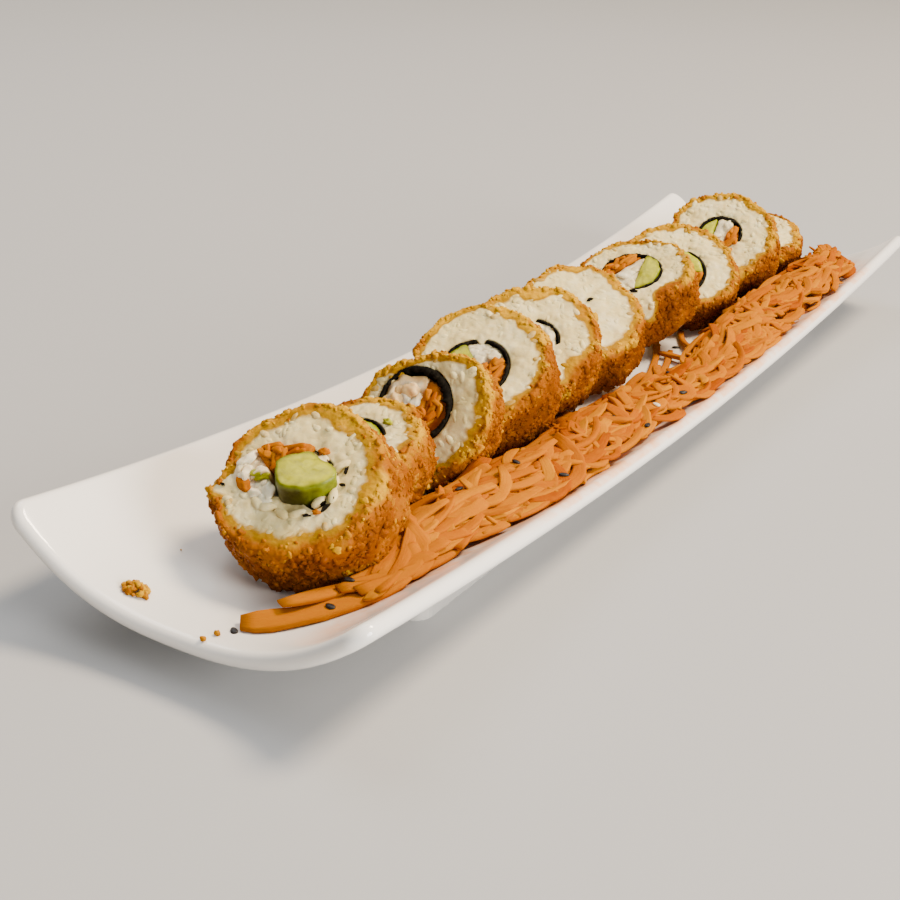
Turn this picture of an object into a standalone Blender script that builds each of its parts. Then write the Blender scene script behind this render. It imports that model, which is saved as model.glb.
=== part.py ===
"""Fried sushi roll: ten leaning slices and a bed of carrot shreds on a long curved plate.

Run with: blender --background --python part.py
Metres, +Z up, +Y along the plate. The origin is the middle of the plate's footprint,
on the surface that it stands on. Slice 1 is the one at the bare end, at -Y.
"""

import math
import random

import bmesh
import bpy
from mathutils import Matrix, Vector, noise
from mathutils.bvhtree import BVHTree

MM = 0.001

# Plate: its middle surface is a shallow saddle dish that rises to the sides and corners
PLATE_WIDTH = 113 * MM
PLATE_LENGTH = 430 * MM
PLATE_THICK = 5 * MM
SIDE_RISE = 12.0 * MM
END_RISE = 3.2 * MM
CORNER_RISE = 25.2 * MM
SIDE_POWER = 2.56
END_POWER = 1.9
WAIST = 0.04
CORNER_RADIUS = 6 * MM
RIM_ROUNDING = 2.4 * MM

# Foot: one low wall under the plate that follows its sides
FOOT_DEPTH = 8.8 * MM
FOOT_HALF_WIDTH = 35.4 * MM
FOOT_HALF_LENGTH = 153 * MM
FOOT_CORNER = 6 * MM
FOOT_WALL = 5 * MM

# Clearances between pieces that touch
GAP = 0.3 * MM
REST_GAP = 0.35 * MM

# Slices: steps round them, how coarse their crust is and how far their sides swell
STEPS = 24
CRAG = 0.7 * MM
BARREL = 0.02

# One entry a slice: across and along the plate, lean of the cut face back from upright,
# turn about the vertical, radius and depth in mm; how oval and three-lobed its outline
# is; how much its back is narrower; its seaweed ring as centre and two half sizes; the
# ring's thickest wall; and what fills the ring, each with its middle in the cut face.
# A dent is an angle and half width in degrees, then its depth at the front and the back.
SLICES = [
    dict(across=4.3, along=-165.5, lean=54.9, turn=-1.2, radius=24.8, depth=17.1,
         oval=(0.05, 0.0), lobes=(-0.01, -0.02), taper=-0.008,
         dents=((190, 20, 4.8, 1.5), (225, 22, 1.8, 2.0), (100, 24, -2.4, 0.0),
                (40, 30, -0.8, -3.0)),
         ring=(-2.9, -0.1, 15.4, 10.8), wall=0.8,
         filling=dict(avocado=(1.8, -1.5), carrot=(-10.5, 9.5), shrimp=(-17.0, -1.0),
                      fish=(7.5, 12.5), cheese=(-9.5, -10.0))),
    dict(across=-2.8, along=-132.0, lean=69.0, turn=-21.1, radius=22.8, depth=16.7,
         oval=(-0.03, 0.0), lobes=(0.0, -0.01), taper=0.024,
         ring=(-0.5, 0.5, 12.0, 11.4), wall=0.8,
         filling=dict(avocado=(4.0, 5.0), fish=(-5.0, -2.0))),
    dict(across=2.3, along=-96.2, lean=32.1, turn=-1.6, radius=21.8, depth=15.7,
         oval=(0.03, 0.04), lobes=(-0.05, 0.01), taper=0.106,
         ring=(-4.0, 2.8, 12.3, 12.0), wall=2.2,
         filling=dict(shrimp=(-8.0, 3.0), carrot=(2.0, 2.0))),
    dict(across=0.7, along=-62.7, lean=56.3, turn=1.9, radius=24.0, depth=20.7,
         oval=(-0.04, -0.04), lobes=(0.01, 0.03), taper=0.018,
         ring=(-0.7, -2.8, 11.7, 12.4), wall=1.2,
         filling=dict(fish=(0.5, 6.0), avocado=(-6.5, -1.5), carrot=(6.0, -2.0))),
    dict(across=-2.2, along=-25.0, lean=54.8, turn=18.6, radius=23.3, depth=18.7,
         oval=(-0.01, 0.0), lobes=(-0.01, 0.01), taper=0.045,
         ring=(0.6, 0.3, 8.7, 8.5), wall=1.2,
         filling=dict(fish=(2.5, 3.0), avocado=(-3.5, -3.0))),
    dict(across=-3.9, along=12.9, lean=62.1, turn=20.9, radius=23.2, depth=18.9,
         oval=(-0.03, -0.03), lobes=(0.02, -0.01), taper=0.016,
         ring=(-5.0, -1.5, 8.0, 8.4), wall=0.9,
         filling=dict(fish=(-2.0, 1.5), avocado=(-8.0, -4.5))),
    dict(across=-4.9, along=61.0, lean=63.7, turn=-13.0, radius=23.0, depth=19.4,
         oval=(-0.04, 0.03), lobes=(-0.01, 0.04), taper=0.024,
         ring=(-0.3, 2.8, 12.1, 10.4), wall=1.1,
         filling=dict(carrot=(-8.0, 3.3), fish=(-0.8, 1.3), avocado=(6.8, 3.8))),
    dict(across=-3.2, along=100.4, lean=58.0, turn=15.1, radius=23.3, depth=14.2,
         oval=(0.04, -0.045), lobes=(0.0, -0.02), taper=0.041,
         ring=(0.0, -3.4, 11.6, 12.0), wall=1.3,
         filling=dict(avocado=(6.0, 3.0), carrot=(5.5, -7.0), fish=(-5.5, -2.5))),
    dict(across=0.9, along=136.9, lean=49.6, turn=4.9, radius=22.8, depth=17.8,
         oval=(0.0, -0.02), lobes=(0.02, 0.01), taper=0.032,
         ring=(-0.9, 1.0, 9.2, 9.0), wall=1.0,
         filling=dict(avocado=(-6.0, 1.5), fish=(-0.8, 1.5), carrot=(5.2, 0.0))),
    dict(across=0.1, along=168.6, lean=77.7, turn=10.4, radius=23.0, depth=16.5,
         oval=(0.01, 0.0), lobes=(0.0, 0.0), taper=0.052,
         ring=(0.0, -2.0, 10.0, 9.6), wall=1.0,
         filling=dict(avocado=(-5.0, -1.0), fish=(1.0, 3.5), carrot=(4.0, -5.0))),
]

# Carrot: a low bank along the plate's right side, and the shreds that show on it
HEAP_START = -176 * MM
HEAP_END = 199 * MM
HEAP_HEIGHT = 7.5 * MM
HEAP_EDGE = 1.0 * MM
HEAP_NARROWEST = 4.5 * MM
HEAP_INNER = 14 * MM
HEAP_CLOSER = 4 * MM
HEAP_RIM_GAP = 5.5 * MM
HEAP_STEPS = 28
HEAP_COLUMNS = 4

# The bank draws back from the slices in the middle of its length and leaves the plate bare
BARE_DEPTH = 12 * MM
BARE_PLACE = 20 * MM
BARE_LENGTH = 36 * MM

# Room that the bank and its shreds keep to the slices
ROOM_REACH = 5 * MM
ROOM_LEAST = 3 * MM
ROOM_ABOVE = 1.5 * MM
SHRED_ROOM = 2.8 * MM
TAIL_ROOM = 2.0 * MM
SEED_ROOM = 2.2 * MM

# Shreds: each of random length, width, thickness and arch between two limits
SHREDS = 28
SHRED_SIDES = 4
SHRED_PIECES = 6
SHRED_LENGTH = (24 * MM, 46 * MM)
SHRED_WIDTH = (2.4 * MM, 3.4 * MM)
SHRED_THICK = (1.5 * MM, 2.0 * MM)
SHRED_ARCH = (0.6 * MM, 2.4 * MM)
SHRED_BEND = 0.9
SHRED_SPREAD = 26
GOLDEN = 0.618034

# Tail: shreds that run from the bank's start to its tip by the plate's end; for each,
# how far it lies to the side, its share of the tail's length and its width
TAIL_TIP = (12.3 * MM, -206 * MM)
TAIL_RUN = (24 * MM, 52 * MM)
TAIL_THICK = 2.2 * MM
TAIL = ((0.0, 1.0, 3.6 * MM), (-2.6 * MM, 0.78, 2.8 * MM), (2.2 * MM, 0.66, 3.0 * MM))

# Sesame seeds
SEED_LENGTH = 3.2 * MM
SEED_WIDTH = 1.9 * MM
SEED_THICK = 1.0 * MM

# Sesame on the carrot: across and along the plate in mm
SEEDS = [(12, -205), (31, -192), (30, -183), (27, -122), (34, -102), (47, -99),
         (48, -41), (41, -49), (46, -7), (35, 8), (25, -5), (14, 66), (26, 60),
         (29, 52), (22, -101), (46, -30)]

COLOURS = {
    "plate": (0.80, 0.79, 0.76, 0.18),
    "rice": (0.76, 0.68, 0.50, 0.60),
    "nori": (0.012, 0.014, 0.010, 0.45),
    "avocado": (0.52, 0.58, 0.10, 0.45),
    "carrot": (0.90, 0.30, 0.03, 0.45),
    "shrimp": (0.85, 0.60, 0.42, 0.40),
    "fish": (0.80, 0.74, 0.66, 0.40),
    "cheese": (0.86, 0.83, 0.74, 0.45),
}


def clear_scene():
    for item in list(bpy.data.objects):
        bpy.data.objects.remove(item, do_unlink=True)


def make_collection(name):
    collection = bpy.data.collections.new(name)
    bpy.context.scene.collection.children.link(collection)
    return collection


def make_material(name):
    red, green, blue, roughness = COLOURS[name]
    material = bpy.data.materials.new(name)
    material.use_nodes = True
    shader = material.node_tree.nodes["Principled BSDF"]
    shader.inputs["Base Color"].default_value = (red, green, blue, 1)
    shader.inputs["Roughness"].default_value = roughness
    shader.inputs["Metallic"].default_value = 0
    return material


def make_object(name, bm, collection, material=None, parent=None):
    """Turn a bmesh into a named object with outward faces."""
    bmesh.ops.recalc_face_normals(bm, faces=bm.faces)
    mesh = bpy.data.meshes.new(name)
    bm.to_mesh(mesh)
    bm.free()
    item = bpy.data.objects.new(name, mesh)
    collection.objects.link(item)
    if material:
        mesh.materials.append(material)
    item.parent = parent
    return item


def apply_modifiers(item):
    """Keep the evaluated mesh of an object in place of its modifiers."""
    depsgraph = bpy.context.evaluated_depsgraph_get()
    mesh = bpy.data.meshes.new_from_object(item.evaluated_get(depsgraph))
    item.modifiers.clear()
    item.data = mesh


def world_tree(items):
    """A search tree over the meshes of objects, in world space."""
    bpy.context.view_layer.update()
    points, faces = [], []
    for item in items:
        start = len(points)
        points.extend(item.matrix_world @ v.co for v in item.data.vertices)
        faces.extend([start + index for index in f.vertices] for f in item.data.polygons)
    return BVHTree.FromPolygons(points, faces)


def bent_grid(steps, rows, place, close_rows=True, close_steps=True):
    """A grid whose vertices go where place(u, v) says, welded where its edges meet."""
    bm = bmesh.new()
    bmesh.ops.create_grid(bm, x_segments=steps, y_segments=rows, size=1)
    for vertex in bm.verts:
        u = round((vertex.co.x + 1) / 2 * steps) / steps
        v = round((vertex.co.y + 1) / 2 * rows)
        if close_steps:
            u %= 1
        if close_rows:
            v %= rows
        vertex.co = place(u, v)
    bmesh.ops.remove_doubles(bm, verts=bm.verts, dist=1e-6)
    return bm


# Plate and foot


def plate_middle(x, y):
    """Height of the plate's middle surface."""
    side = min(abs(x) / (PLATE_WIDTH / 2), 1.1) ** SIDE_POWER
    end = min(abs(y) / (PLATE_LENGTH / 2), 1.1) ** END_POWER
    both = CORNER_RISE - SIDE_RISE - END_RISE
    return FOOT_DEPTH + SIDE_RISE * side + END_RISE * end + both * side * end


def waist(y):
    """The sides draw in a little towards the middle of the plate's length."""
    return 1 - WAIST * (1 - (y / (PLATE_LENGTH / 2)) ** 2)


def rounded_sheet(half_width, half_length, corner, columns, rows):
    """A flat grid with rounded corners."""
    bm = bmesh.new()
    bmesh.ops.create_grid(bm, x_segments=columns, y_segments=rows, size=1)
    bmesh.ops.scale(bm, vec=(half_width, half_length, 1), verts=bm.verts)
    corners = [v for v in bm.verts if len(v.link_edges) == 2]
    bmesh.ops.bevel(bm, geom=corners, offset=corner, segments=3, profile=0.5,
                    affect="VERTICES")
    return bm


def make_slab(collection, material):
    bm = rounded_sheet(PLATE_WIDTH / 2, PLATE_LENGTH / 2, CORNER_RADIUS, 8, 24)
    bmesh.ops.triangulate(bm, faces=[f for f in bm.faces if len(f.verts) > 4])
    for vertex in bm.verts:
        vertex.co.x *= waist(vertex.co.y)
        vertex.co.z = plate_middle(vertex.co.x, vertex.co.y)
    slab = make_object("plate", bm, collection, material)
    thick = slab.modifiers.new("Thickness", "SOLIDIFY")
    thick.thickness = PLATE_THICK
    thick.offset = 0
    rim = slab.modifiers.new("Rolled rim", "BEVEL")
    rim.width = RIM_ROUNDING
    rim.segments = 2
    rim.limit_method = "ANGLE"
    rim.angle_limit = math.radians(50)
    return slab


def make_foot(collection):
    """A ring wall that stands on z = 0 and reaches up into the plate."""
    bm = rounded_sheet(FOOT_HALF_WIDTH, FOOT_HALF_LENGTH, FOOT_CORNER, 2, 14)
    inside = list(bm.faces)
    bmesh.ops.inset_region(bm, faces=inside, thickness=FOOT_WALL, use_boundary=True,
                           use_even_offset=True)
    bmesh.ops.delete(bm, geom=inside, context="FACES")
    for vertex in bm.verts:
        vertex.co.x *= waist(vertex.co.y)
    raised = bmesh.ops.extrude_face_region(bm, geom=list(bm.faces), use_keep_orig=True)
    for vertex in raised["geom"]:
        if isinstance(vertex, bmesh.types.BMVert):
            vertex.co.z = plate_middle(vertex.co.x, vertex.co.y)
    return make_object("foot", bm, collection)


def make_plate(collection, cutters, material):
    slab = make_slab(collection, material)
    foot = make_foot(cutters)
    join = slab.modifiers.new("Foot", "BOOLEAN")
    join.operation = "UNION"
    join.solver = "EXACT"
    join.object = foot
    apply_modifiers(slab)
    bpy.data.objects.remove(foot, do_unlink=True)
    slab.data.shade_smooth()
    slab.data.set_sharp_from_angle(angle=math.radians(40))
    return slab


# Slices: crusted rice round a seaweed ring round the fillings


def outline(piece, angle, height):
    """Radius of a slice's outside at an angle in its cut face, in metres.

    height runs from -1 at the slice's back to 1 at its front.
    """
    oval, lobes = piece["oval"], piece["lobes"]
    wave = oval[0] * math.cos(2 * angle) + oval[1] * math.sin(2 * angle)
    wave += lobes[0] * math.cos(3 * angle) + lobes[1] * math.sin(3 * angle)
    radius = piece["radius"] * (1 + wave) * (1 - piece["taper"] * (1 - height) / 2)
    for middle, half_width, front, back in piece.get("dents", ()):
        off = (math.degrees(angle) - middle + 180) % 360 - 180
        depth = (front + back) / 2 + (front - back) / 2 * height
        radius -= depth * math.exp(-(off / half_width) ** 2)
    return radius * MM


def ring_point(piece, angle, inset):
    """A point of the seaweed ring's outside, moved in by inset."""
    x, y, half_x, half_y = (value * MM for value in piece["ring"])
    return Vector((x + (half_x - inset) * math.cos(angle),
                   y + (half_y - inset) * math.sin(angle)))


def wall_at(piece, angle):
    """The seaweed is thickest at the top of the ring, where the sheet overlaps."""
    thin = 0.7 * MM
    lap = max(0, math.cos(angle - math.radians(70))) ** 2
    return thin + (piece["wall"] * MM - thin) * lap


def crag(index, place, size):
    """Knobs of the fried crust: uneven, and mostly inwards."""
    spot = place / (6.5 * MM) + Vector((17.3 * index, 5.1, 2.7 * index))
    return size * (noise.noise(spot) * 1.6 - 0.35)


def make_rice(index, piece, collection, material, parent):
    """Profile rows: five up the crusted outside, then face, hole and back."""
    half = piece["depth"] * MM / 2
    heights = (-1.0, -0.62, 0.0, 0.62, 1.0, 1.0, 1.0, -1.0, -1.0)
    scales = (0.965, 1.0, 1.0 + BARREL, 1.0, 0.965)

    def place(u, row):
        angle = 2 * math.pi * u
        height = heights[row]
        side = outline(piece, angle, height)
        hole = ring_point(piece, angle, -GAP)
        if row < 5:
            radius = side * scales[row]
            flat = Vector((math.cos(angle), math.sin(angle))) * radius
            point = Vector((flat.x, flat.y, height * half))
            bump = crag(index, point, CRAG)
            return point * (1 + bump / radius) if row in (1, 2, 3) else point
        if row in (5, 8):
            edge = Vector((math.cos(angle), math.sin(angle))) * side * scales[0]
            middle = hole.lerp(edge, 0.6)
            swell = 0.25 * MM * noise.noise(Vector((middle.x, middle.y, index)) * 400)
            return Vector((middle.x, middle.y, height * (half + swell)))
        return Vector((hole.x, hole.y, height * half))

    bm = bent_grid(STEPS, 9, place)
    return make_object(f"slice_{index}_rice", bm, collection, material, parent)


def make_nori(index, piece, collection, material, parent):
    half = piece["depth"] * MM / 2

    def place(u, row):
        angle = 2 * math.pi * u
        inset = wall_at(piece, angle) if row in (1, 2) else 0
        point = ring_point(piece, angle, inset)
        return Vector((point.x, point.y, half if row >= 2 else -half))

    bm = bent_grid(STEPS, 4, place)
    return make_object(f"slice_{index}_nori", bm, collection, material, parent)


def cut_by_line(points, middle, normal):
    """Keep the part of a convex outline behind a line."""
    kept = []
    for first, second in zip(points, points[1:] + points[:1]):
        a = (first - middle).dot(normal)
        b = (second - middle).dot(normal)
        if a <= 0:
            kept.append(first)
        if (a < 0) != (b < 0) and a != b:
            kept.append(first.lerp(second, a / (a - b)))
    return kept


def filling_outline(piece, name):
    """The fillings share the inside of the ring, each up to halfway to the next."""
    angles = [2 * math.pi * step / STEPS for step in range(STEPS)]
    points = [ring_point(piece, a, wall_at(piece, a) + GAP) for a in angles]
    own = Vector(piece["filling"][name]) * MM
    for other, spot in piece["filling"].items():
        if other == name:
            continue
        away = Vector(spot) * MM - own
        middle = own + away / 2 - away.normalized() * GAP / 2
        points = cut_by_line(points, middle, away)
    kept = []
    for point in points:
        if not kept or (point - kept[-1]).length > 0.4 * MM:
            kept.append(point)
    if (kept[0] - kept[-1]).length <= 0.4 * MM:
        kept.pop()
    return kept


def make_filling(index, piece, name, collection, material, parent):
    """A bar with the filling's outline that runs through the slice."""
    half = piece["depth"] * MM / 2
    points = filling_outline(piece, name)
    bm = bmesh.new()
    bmesh.ops.create_circle(bm, cap_ends=True, segments=len(points), radius=1)
    bm.verts.ensure_lookup_table()
    ordered = sorted(bm.verts, key=lambda v: math.atan2(v.co.y, v.co.x) % (2 * math.pi))
    for vertex, point in zip(ordered, points):
        vertex.co = Vector((point.x, point.y, -half + 0.2 * MM))
    lower = list(bm.faces)
    grown = bmesh.ops.extrude_face_region(bm, geom=lower, use_keep_orig=True)
    raised = [g for g in grown["geom"] if isinstance(g, bmesh.types.BMVert)]
    bmesh.ops.translate(bm, verts=raised, vec=(0, 0, 2 * half - 0.1 * MM))
    ends = [f for f in bm.faces if abs(f.normal.z) > 0.9 and len(f.verts) == len(points)]
    poked = bmesh.ops.poke(bm, faces=ends)
    for vertex in poked["verts"]:
        vertex.co.z += 0.35 * MM if vertex.co.z > 0 else 0.3 * MM
    return make_object(f"slice_{index}_{name}", bm, collection, material, parent)


def set_slice_on_plate(empty, rice, plate_tree):
    """Lower a slice until its lowest knob nearly touches the plate."""
    bpy.context.view_layer.update()
    room = []
    for vertex in rice.data.vertices:
        point = rice.matrix_world @ vertex.co
        hit = plate_tree.ray_cast(Vector((point.x, point.y, 0.2)), Vector((0, 0, -1)))
        if hit[0]:
            room.append(point.z - hit[0].z)
    empty.location.z -= min(room) - REST_GAP
    bpy.context.view_layer.update()


def make_slice(index, piece, collection, materials, plate_tree):
    empty = bpy.data.objects.new(f"slice_{index}_place", None)
    collection.objects.link(empty)
    empty.location = (piece["across"] * MM, piece["along"] * MM, 60 * MM)
    empty.rotation_euler = (math.radians(90 - piece["lean"]), 0, math.radians(piece["turn"]))
    rice = make_rice(index, piece, collection, materials["rice"], empty)
    make_nori(index, piece, collection, materials["nori"], empty)
    for name in piece["filling"]:
        make_filling(index, piece, name, collection, materials[name], empty)
    set_slice_on_plate(empty, rice, plate_tree)
    return rice


# Carrot shreds


def heap_sides(y):
    """Inner and outer edge of the carrot bank at a place along the plate."""
    s = (y - HEAP_START) / (HEAP_END - HEAP_START)
    rim = PLATE_WIDTH / 2 * waist(y) - HEAP_RIM_GAP
    start = min(1, 0.5 + 0.85 * math.sqrt(max(s, 0)))
    finish = 1 - 0.4 * max(0, (s - 0.86) / 0.14) ** 2
    outer = rim * start * finish
    bare = BARE_DEPTH * math.exp(-((y - BARE_PLACE) / BARE_LENGTH) ** 2)
    inner = HEAP_INNER - HEAP_CLOSER * s + bare
    return inner, outer


def clear_sides(slice_tree, plate_tree, y):
    """The bank's edges, with the inner one moved out until it is clear of the slices."""
    inner, outer = heap_sides(y)
    step = (HEAP_END - HEAP_START) / HEAP_STEPS
    for place in (y - step, y, y + step):
        while inner < outer - HEAP_NARROWEST:
            floor = top_of(plate_tree, inner, place)
            if free_height(slice_tree, inner, place, floor) > ROOM_LEAST:
                break
            inner += 1 * MM
    return inner, outer


def top_of(tree, x, y):
    """Height of the topmost face of a tree under a point."""
    hit = tree.ray_cast(Vector((x, y, 0.3)), Vector((0, 0, -1)))
    return hit[0].z if hit[0] else 0


def free_height(slice_tree, x, y, z):
    """Clear height under the slices, looked for a little way round the point."""
    room = 1.0
    for dx in (-ROOM_REACH, 0, ROOM_REACH):
        for dy in (-ROOM_REACH, 0, ROOM_REACH):
            hit = slice_tree.ray_cast(Vector((x + dx, y + dy, z - 1 * MM)), Vector((0, 0, 1)))
            if hit[0]:
                room = min(room, hit[0].z - z)
    return room


def heap_depth(slice_tree, x, y, floor, t):
    s = (y - HEAP_START) / (HEAP_END - HEAP_START)
    ends = min(1, s / 0.12, (1 - s) / 0.06) ** 0.7 if 0 < s < 1 else 0
    across = math.sin(math.pi * min(max(0.12 + 0.83 * t, 0), 1)) ** 0.8
    bumps = 1 + 0.5 * noise.noise(Vector((x, y, 0)) / (11 * MM))
    depth = HEAP_HEIGHT * ends * across * bumps
    room = free_height(slice_tree, x, y, floor) - ROOM_ABOVE
    return max(min(depth, room), HEAP_EDGE)


def make_heap_core(collection, plate_tree, slice_tree):
    loop = HEAP_COLUMNS * 2

    def place(u, row):
        y = HEAP_START + (HEAP_END - HEAP_START) * u
        inner, outer = clear_sides(slice_tree, plate_tree, y)
        under = row > HEAP_COLUMNS
        t = (row if not under else loop - row) / HEAP_COLUMNS
        x = inner + (outer - inner) * t
        floor = top_of(plate_tree, x, y) + 0.5 * MM
        if under or row in (0, HEAP_COLUMNS):
            lift = 0 if under else HEAP_EDGE
        else:
            lift = heap_depth(slice_tree, x, y, floor, t)
        return Vector((x, y, floor + lift))

    bm = bent_grid(HEAP_STEPS, loop, place, close_steps=False)
    bmesh.ops.holes_fill(bm, edges=[e for e in bm.edges if e.is_boundary])
    bmesh.ops.triangulate(bm, faces=[f for f in bm.faces if len(f.verts) > 4])
    return make_object("carrot_shreds", bm, collection)


def make_shred(path, width, thick, collection):
    """A four-sided strip along a path, narrower at both ends."""
    count = len(path) - 1

    def place(u, row):
        k = round(u * count)
        ahead = path[min(k + 1, count)] - path[max(k - 1, 0)]
        across = ahead.cross(Vector((0, 0, 1))).normalized()
        up = across.cross(ahead).normalized()
        slim = 0.55 + 0.45 * math.sin(math.pi * (0.12 + 0.76 * u))
        sides = [(-1, -1), (1, -1), (1, 1), (-1, 1)][row]
        offset = across * sides[0] * width / 2 + up * sides[1] * thick / 2
        return path[k] + offset * slim

    bm = bent_grid(count, SHRED_SIDES, place, close_steps=False)
    bmesh.ops.holes_fill(bm, edges=[e for e in bm.edges if e.is_boundary])
    return make_object("shred", bm, collection)


def lay_path(middle, heading, length, bend, height_of, arch):
    """A curved path that arches a little over whatever height_of gives under it."""
    path = []
    for k in range(SHRED_PIECES + 1):
        s = k / SHRED_PIECES - 0.5
        angle = heading + bend * s
        x = middle[0] + length * s * math.cos(angle)
        y = middle[1] + length * s * math.sin(angle)
        lift = math.sin(math.pi * k / SHRED_PIECES) * arch
        path.append(Vector((x, y, height_of(x, y) + lift)))
    for k in range(1, SHRED_PIECES):
        between = (path[k - 1].z + path[k + 1].z) / 2
        path[k].z = max(path[k].z, between)
    return path


def clear_of(path, tree, margin):
    """True where no point of a path comes near the tree or under it."""
    for point in path:
        near = tree.find_nearest(point, margin)
        if near[0]:
            return False
        above = tree.ray_cast(point, Vector((0, 0, 1)))
        below = tree.ray_cast(point, Vector((0, 0, -1)))
        if above[0] and below[0]:
            return False
    return True


def make_shreds(collection, plate_tree, slice_tree, core_tree):
    """Longest shreds first, spread evenly along the bank, then the tail at its start."""
    draw = random.Random(11)
    shreds = []

    def ground(x, y):
        plate = top_of(plate_tree, x, y) + 1.6 * MM
        return max(plate, top_of(core_tree, x, y))

    for k in range(SHREDS):
        s = (k * GOLDEN + 0.03) % 1
        y = HEAP_START + 14 * MM + (HEAP_END - HEAP_START - 30 * MM) * s
        inner, outer = clear_sides(slice_tree, plate_tree, y)
        for attempt in range(12):
            length = draw.uniform(*SHRED_LENGTH) * (1 - 0.35 * k / SHREDS)
            heading = math.radians(90 + draw.gauss(-6, SHRED_SPREAD))
            t = draw.uniform(0.12, 0.86)
            x = inner + (outer - inner) * t
            width = draw.uniform(*SHRED_WIDTH)
            thick = draw.uniform(*SHRED_THICK)
            arch = draw.uniform(*SHRED_ARCH)
            bend = draw.uniform(-SHRED_BEND, SHRED_BEND)
            path = lay_path((x, y), heading, length, bend, ground, arch)
            rim = PLATE_WIDTH / 2 * waist(y) - HEAP_RIM_GAP + 1 * MM
            inside = all(abs(p.x) < rim and abs(p.y) < HEAP_END + 6 * MM for p in path)
            if inside and clear_of(path, slice_tree, SHRED_ROOM):
                shreds.append(make_shred(path, width, thick, collection))
                break
    for side, share, width in TAIL:
        path = []
        for k in range(SHRED_PIECES + 3):
            s = 1 - k / (SHRED_PIECES + 2) * share
            x = TAIL_TIP[0] + TAIL_RUN[0] * s + side
            y = TAIL_TIP[1] + TAIL_RUN[1] * s - side * 0.6
            path.append(Vector((x, y, ground(x, y) + 0.2 * MM)))
        if clear_of(path, slice_tree, TAIL_ROOM):
            shreds.append(make_shred(path, width, TAIL_THICK, collection))
    return shreds


def make_seeds(collection, heap_tree, slice_tree):
    """Sesame seeds sunk a third of the way into the shreds under them."""
    draw = random.Random(5)
    seeds = []
    for x, y in SEEDS:
        z = top_of(heap_tree, x * MM, y * MM)
        if z == 0:
            continue
        spot = Vector((x * MM, y * MM, z + 0.12 * MM))
        if slice_tree.find_nearest(spot, SEED_ROOM)[0]:
            continue
        bm = bmesh.new()
        bmesh.ops.create_icosphere(bm, subdivisions=1, radius=0.5)
        size = Matrix.Diagonal((SEED_LENGTH, SEED_WIDTH, SEED_THICK, 1))
        turn = Matrix.Rotation(draw.uniform(0, math.pi), 4, "Z")
        bmesh.ops.transform(bm, matrix=Matrix.Translation(spot) @ turn @ size, verts=bm.verts)
        seeds.append(make_object("seed", bm, collection))
    return seeds


def fuse(item, pieces, collection):
    """Join the pieces into the item with one Boolean union, then remove them."""
    join = item.modifiers.new("Fused pieces", "BOOLEAN")
    join.operation = "UNION"
    join.operand_type = "COLLECTION"
    join.collection = collection
    join.solver = "MANIFOLD"
    apply_modifiers(item)
    for piece in pieces:
        bpy.data.objects.remove(piece, do_unlink=True)
    keep_largest(item)


def keep_largest(item):
    """Drop loose scraps and sealed hollows: keep only the largest shell."""
    bm = bmesh.new()
    bm.from_mesh(item.data)
    left = set(bm.verts)
    shells = []
    while left:
        shell, stack = set(), [left.pop()]
        while stack:
            vertex = stack.pop()
            shell.add(vertex)
            for edge in vertex.link_edges:
                other = edge.other_vert(vertex)
                if other in left:
                    left.remove(other)
                    stack.append(other)
        shells.append(shell)
    shells.sort(key=len, reverse=True)
    extra = [v for shell in shells[1:] for v in shell]
    bmesh.ops.delete(bm, geom=extra, context="VERTS")
    bm.to_mesh(item.data)
    bm.free()


def make_heap(collection, cutters, material, plate_tree, slice_tree):
    core = make_heap_core(collection, plate_tree, slice_tree)
    core_tree = world_tree([core])
    shreds = make_shreds(cutters, plate_tree, slice_tree, core_tree)
    fuse(core, shreds, cutters)
    seeds = make_seeds(cutters, world_tree([core]), slice_tree)
    fuse(core, seeds, cutters)
    core.data.materials.clear()
    core.data.materials.append(material)
    return core


def main():
    clear_scene()
    roll = make_collection("Fried sushi roll")
    cutters = make_collection("Cutters")
    cutters.hide_render = True
    materials = {name: make_material(name) for name in COLOURS}
    plate = make_plate(roll, cutters, materials["plate"])
    plate_tree = world_tree([plate])
    rices = []
    for index, piece in enumerate(SLICES, start=1):
        rices.append(make_slice(index, piece, roll, materials, plate_tree))
    make_heap(roll, cutters, materials["carrot"], plate_tree, world_tree(rices))


main()
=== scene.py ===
"""Looks of the fried sushi roll on its long plate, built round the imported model.

Metres, +Z up, +Y along the plate. Slice 1 is the nearest to the camera.
"""

import math
import random

import bmesh
import bpy
import numpy as np
from mathutils import Matrix, Vector, noise
from mathutils.bvhtree import BVHTree


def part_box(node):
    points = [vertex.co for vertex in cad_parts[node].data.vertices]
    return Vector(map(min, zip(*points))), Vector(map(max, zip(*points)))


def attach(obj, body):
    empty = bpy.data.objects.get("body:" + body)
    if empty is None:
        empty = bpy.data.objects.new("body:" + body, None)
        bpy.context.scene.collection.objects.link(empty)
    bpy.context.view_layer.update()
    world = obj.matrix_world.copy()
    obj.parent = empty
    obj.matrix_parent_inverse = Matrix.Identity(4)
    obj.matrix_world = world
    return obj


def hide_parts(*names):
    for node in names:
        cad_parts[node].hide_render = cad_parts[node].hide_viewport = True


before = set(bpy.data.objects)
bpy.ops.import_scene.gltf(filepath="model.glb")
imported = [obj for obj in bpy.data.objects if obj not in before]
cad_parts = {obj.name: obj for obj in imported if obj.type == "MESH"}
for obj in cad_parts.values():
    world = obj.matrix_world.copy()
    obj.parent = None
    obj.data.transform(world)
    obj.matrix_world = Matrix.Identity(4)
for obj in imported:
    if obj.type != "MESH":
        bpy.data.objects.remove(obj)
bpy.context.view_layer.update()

MM = 0.001
BODY = "root"

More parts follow.
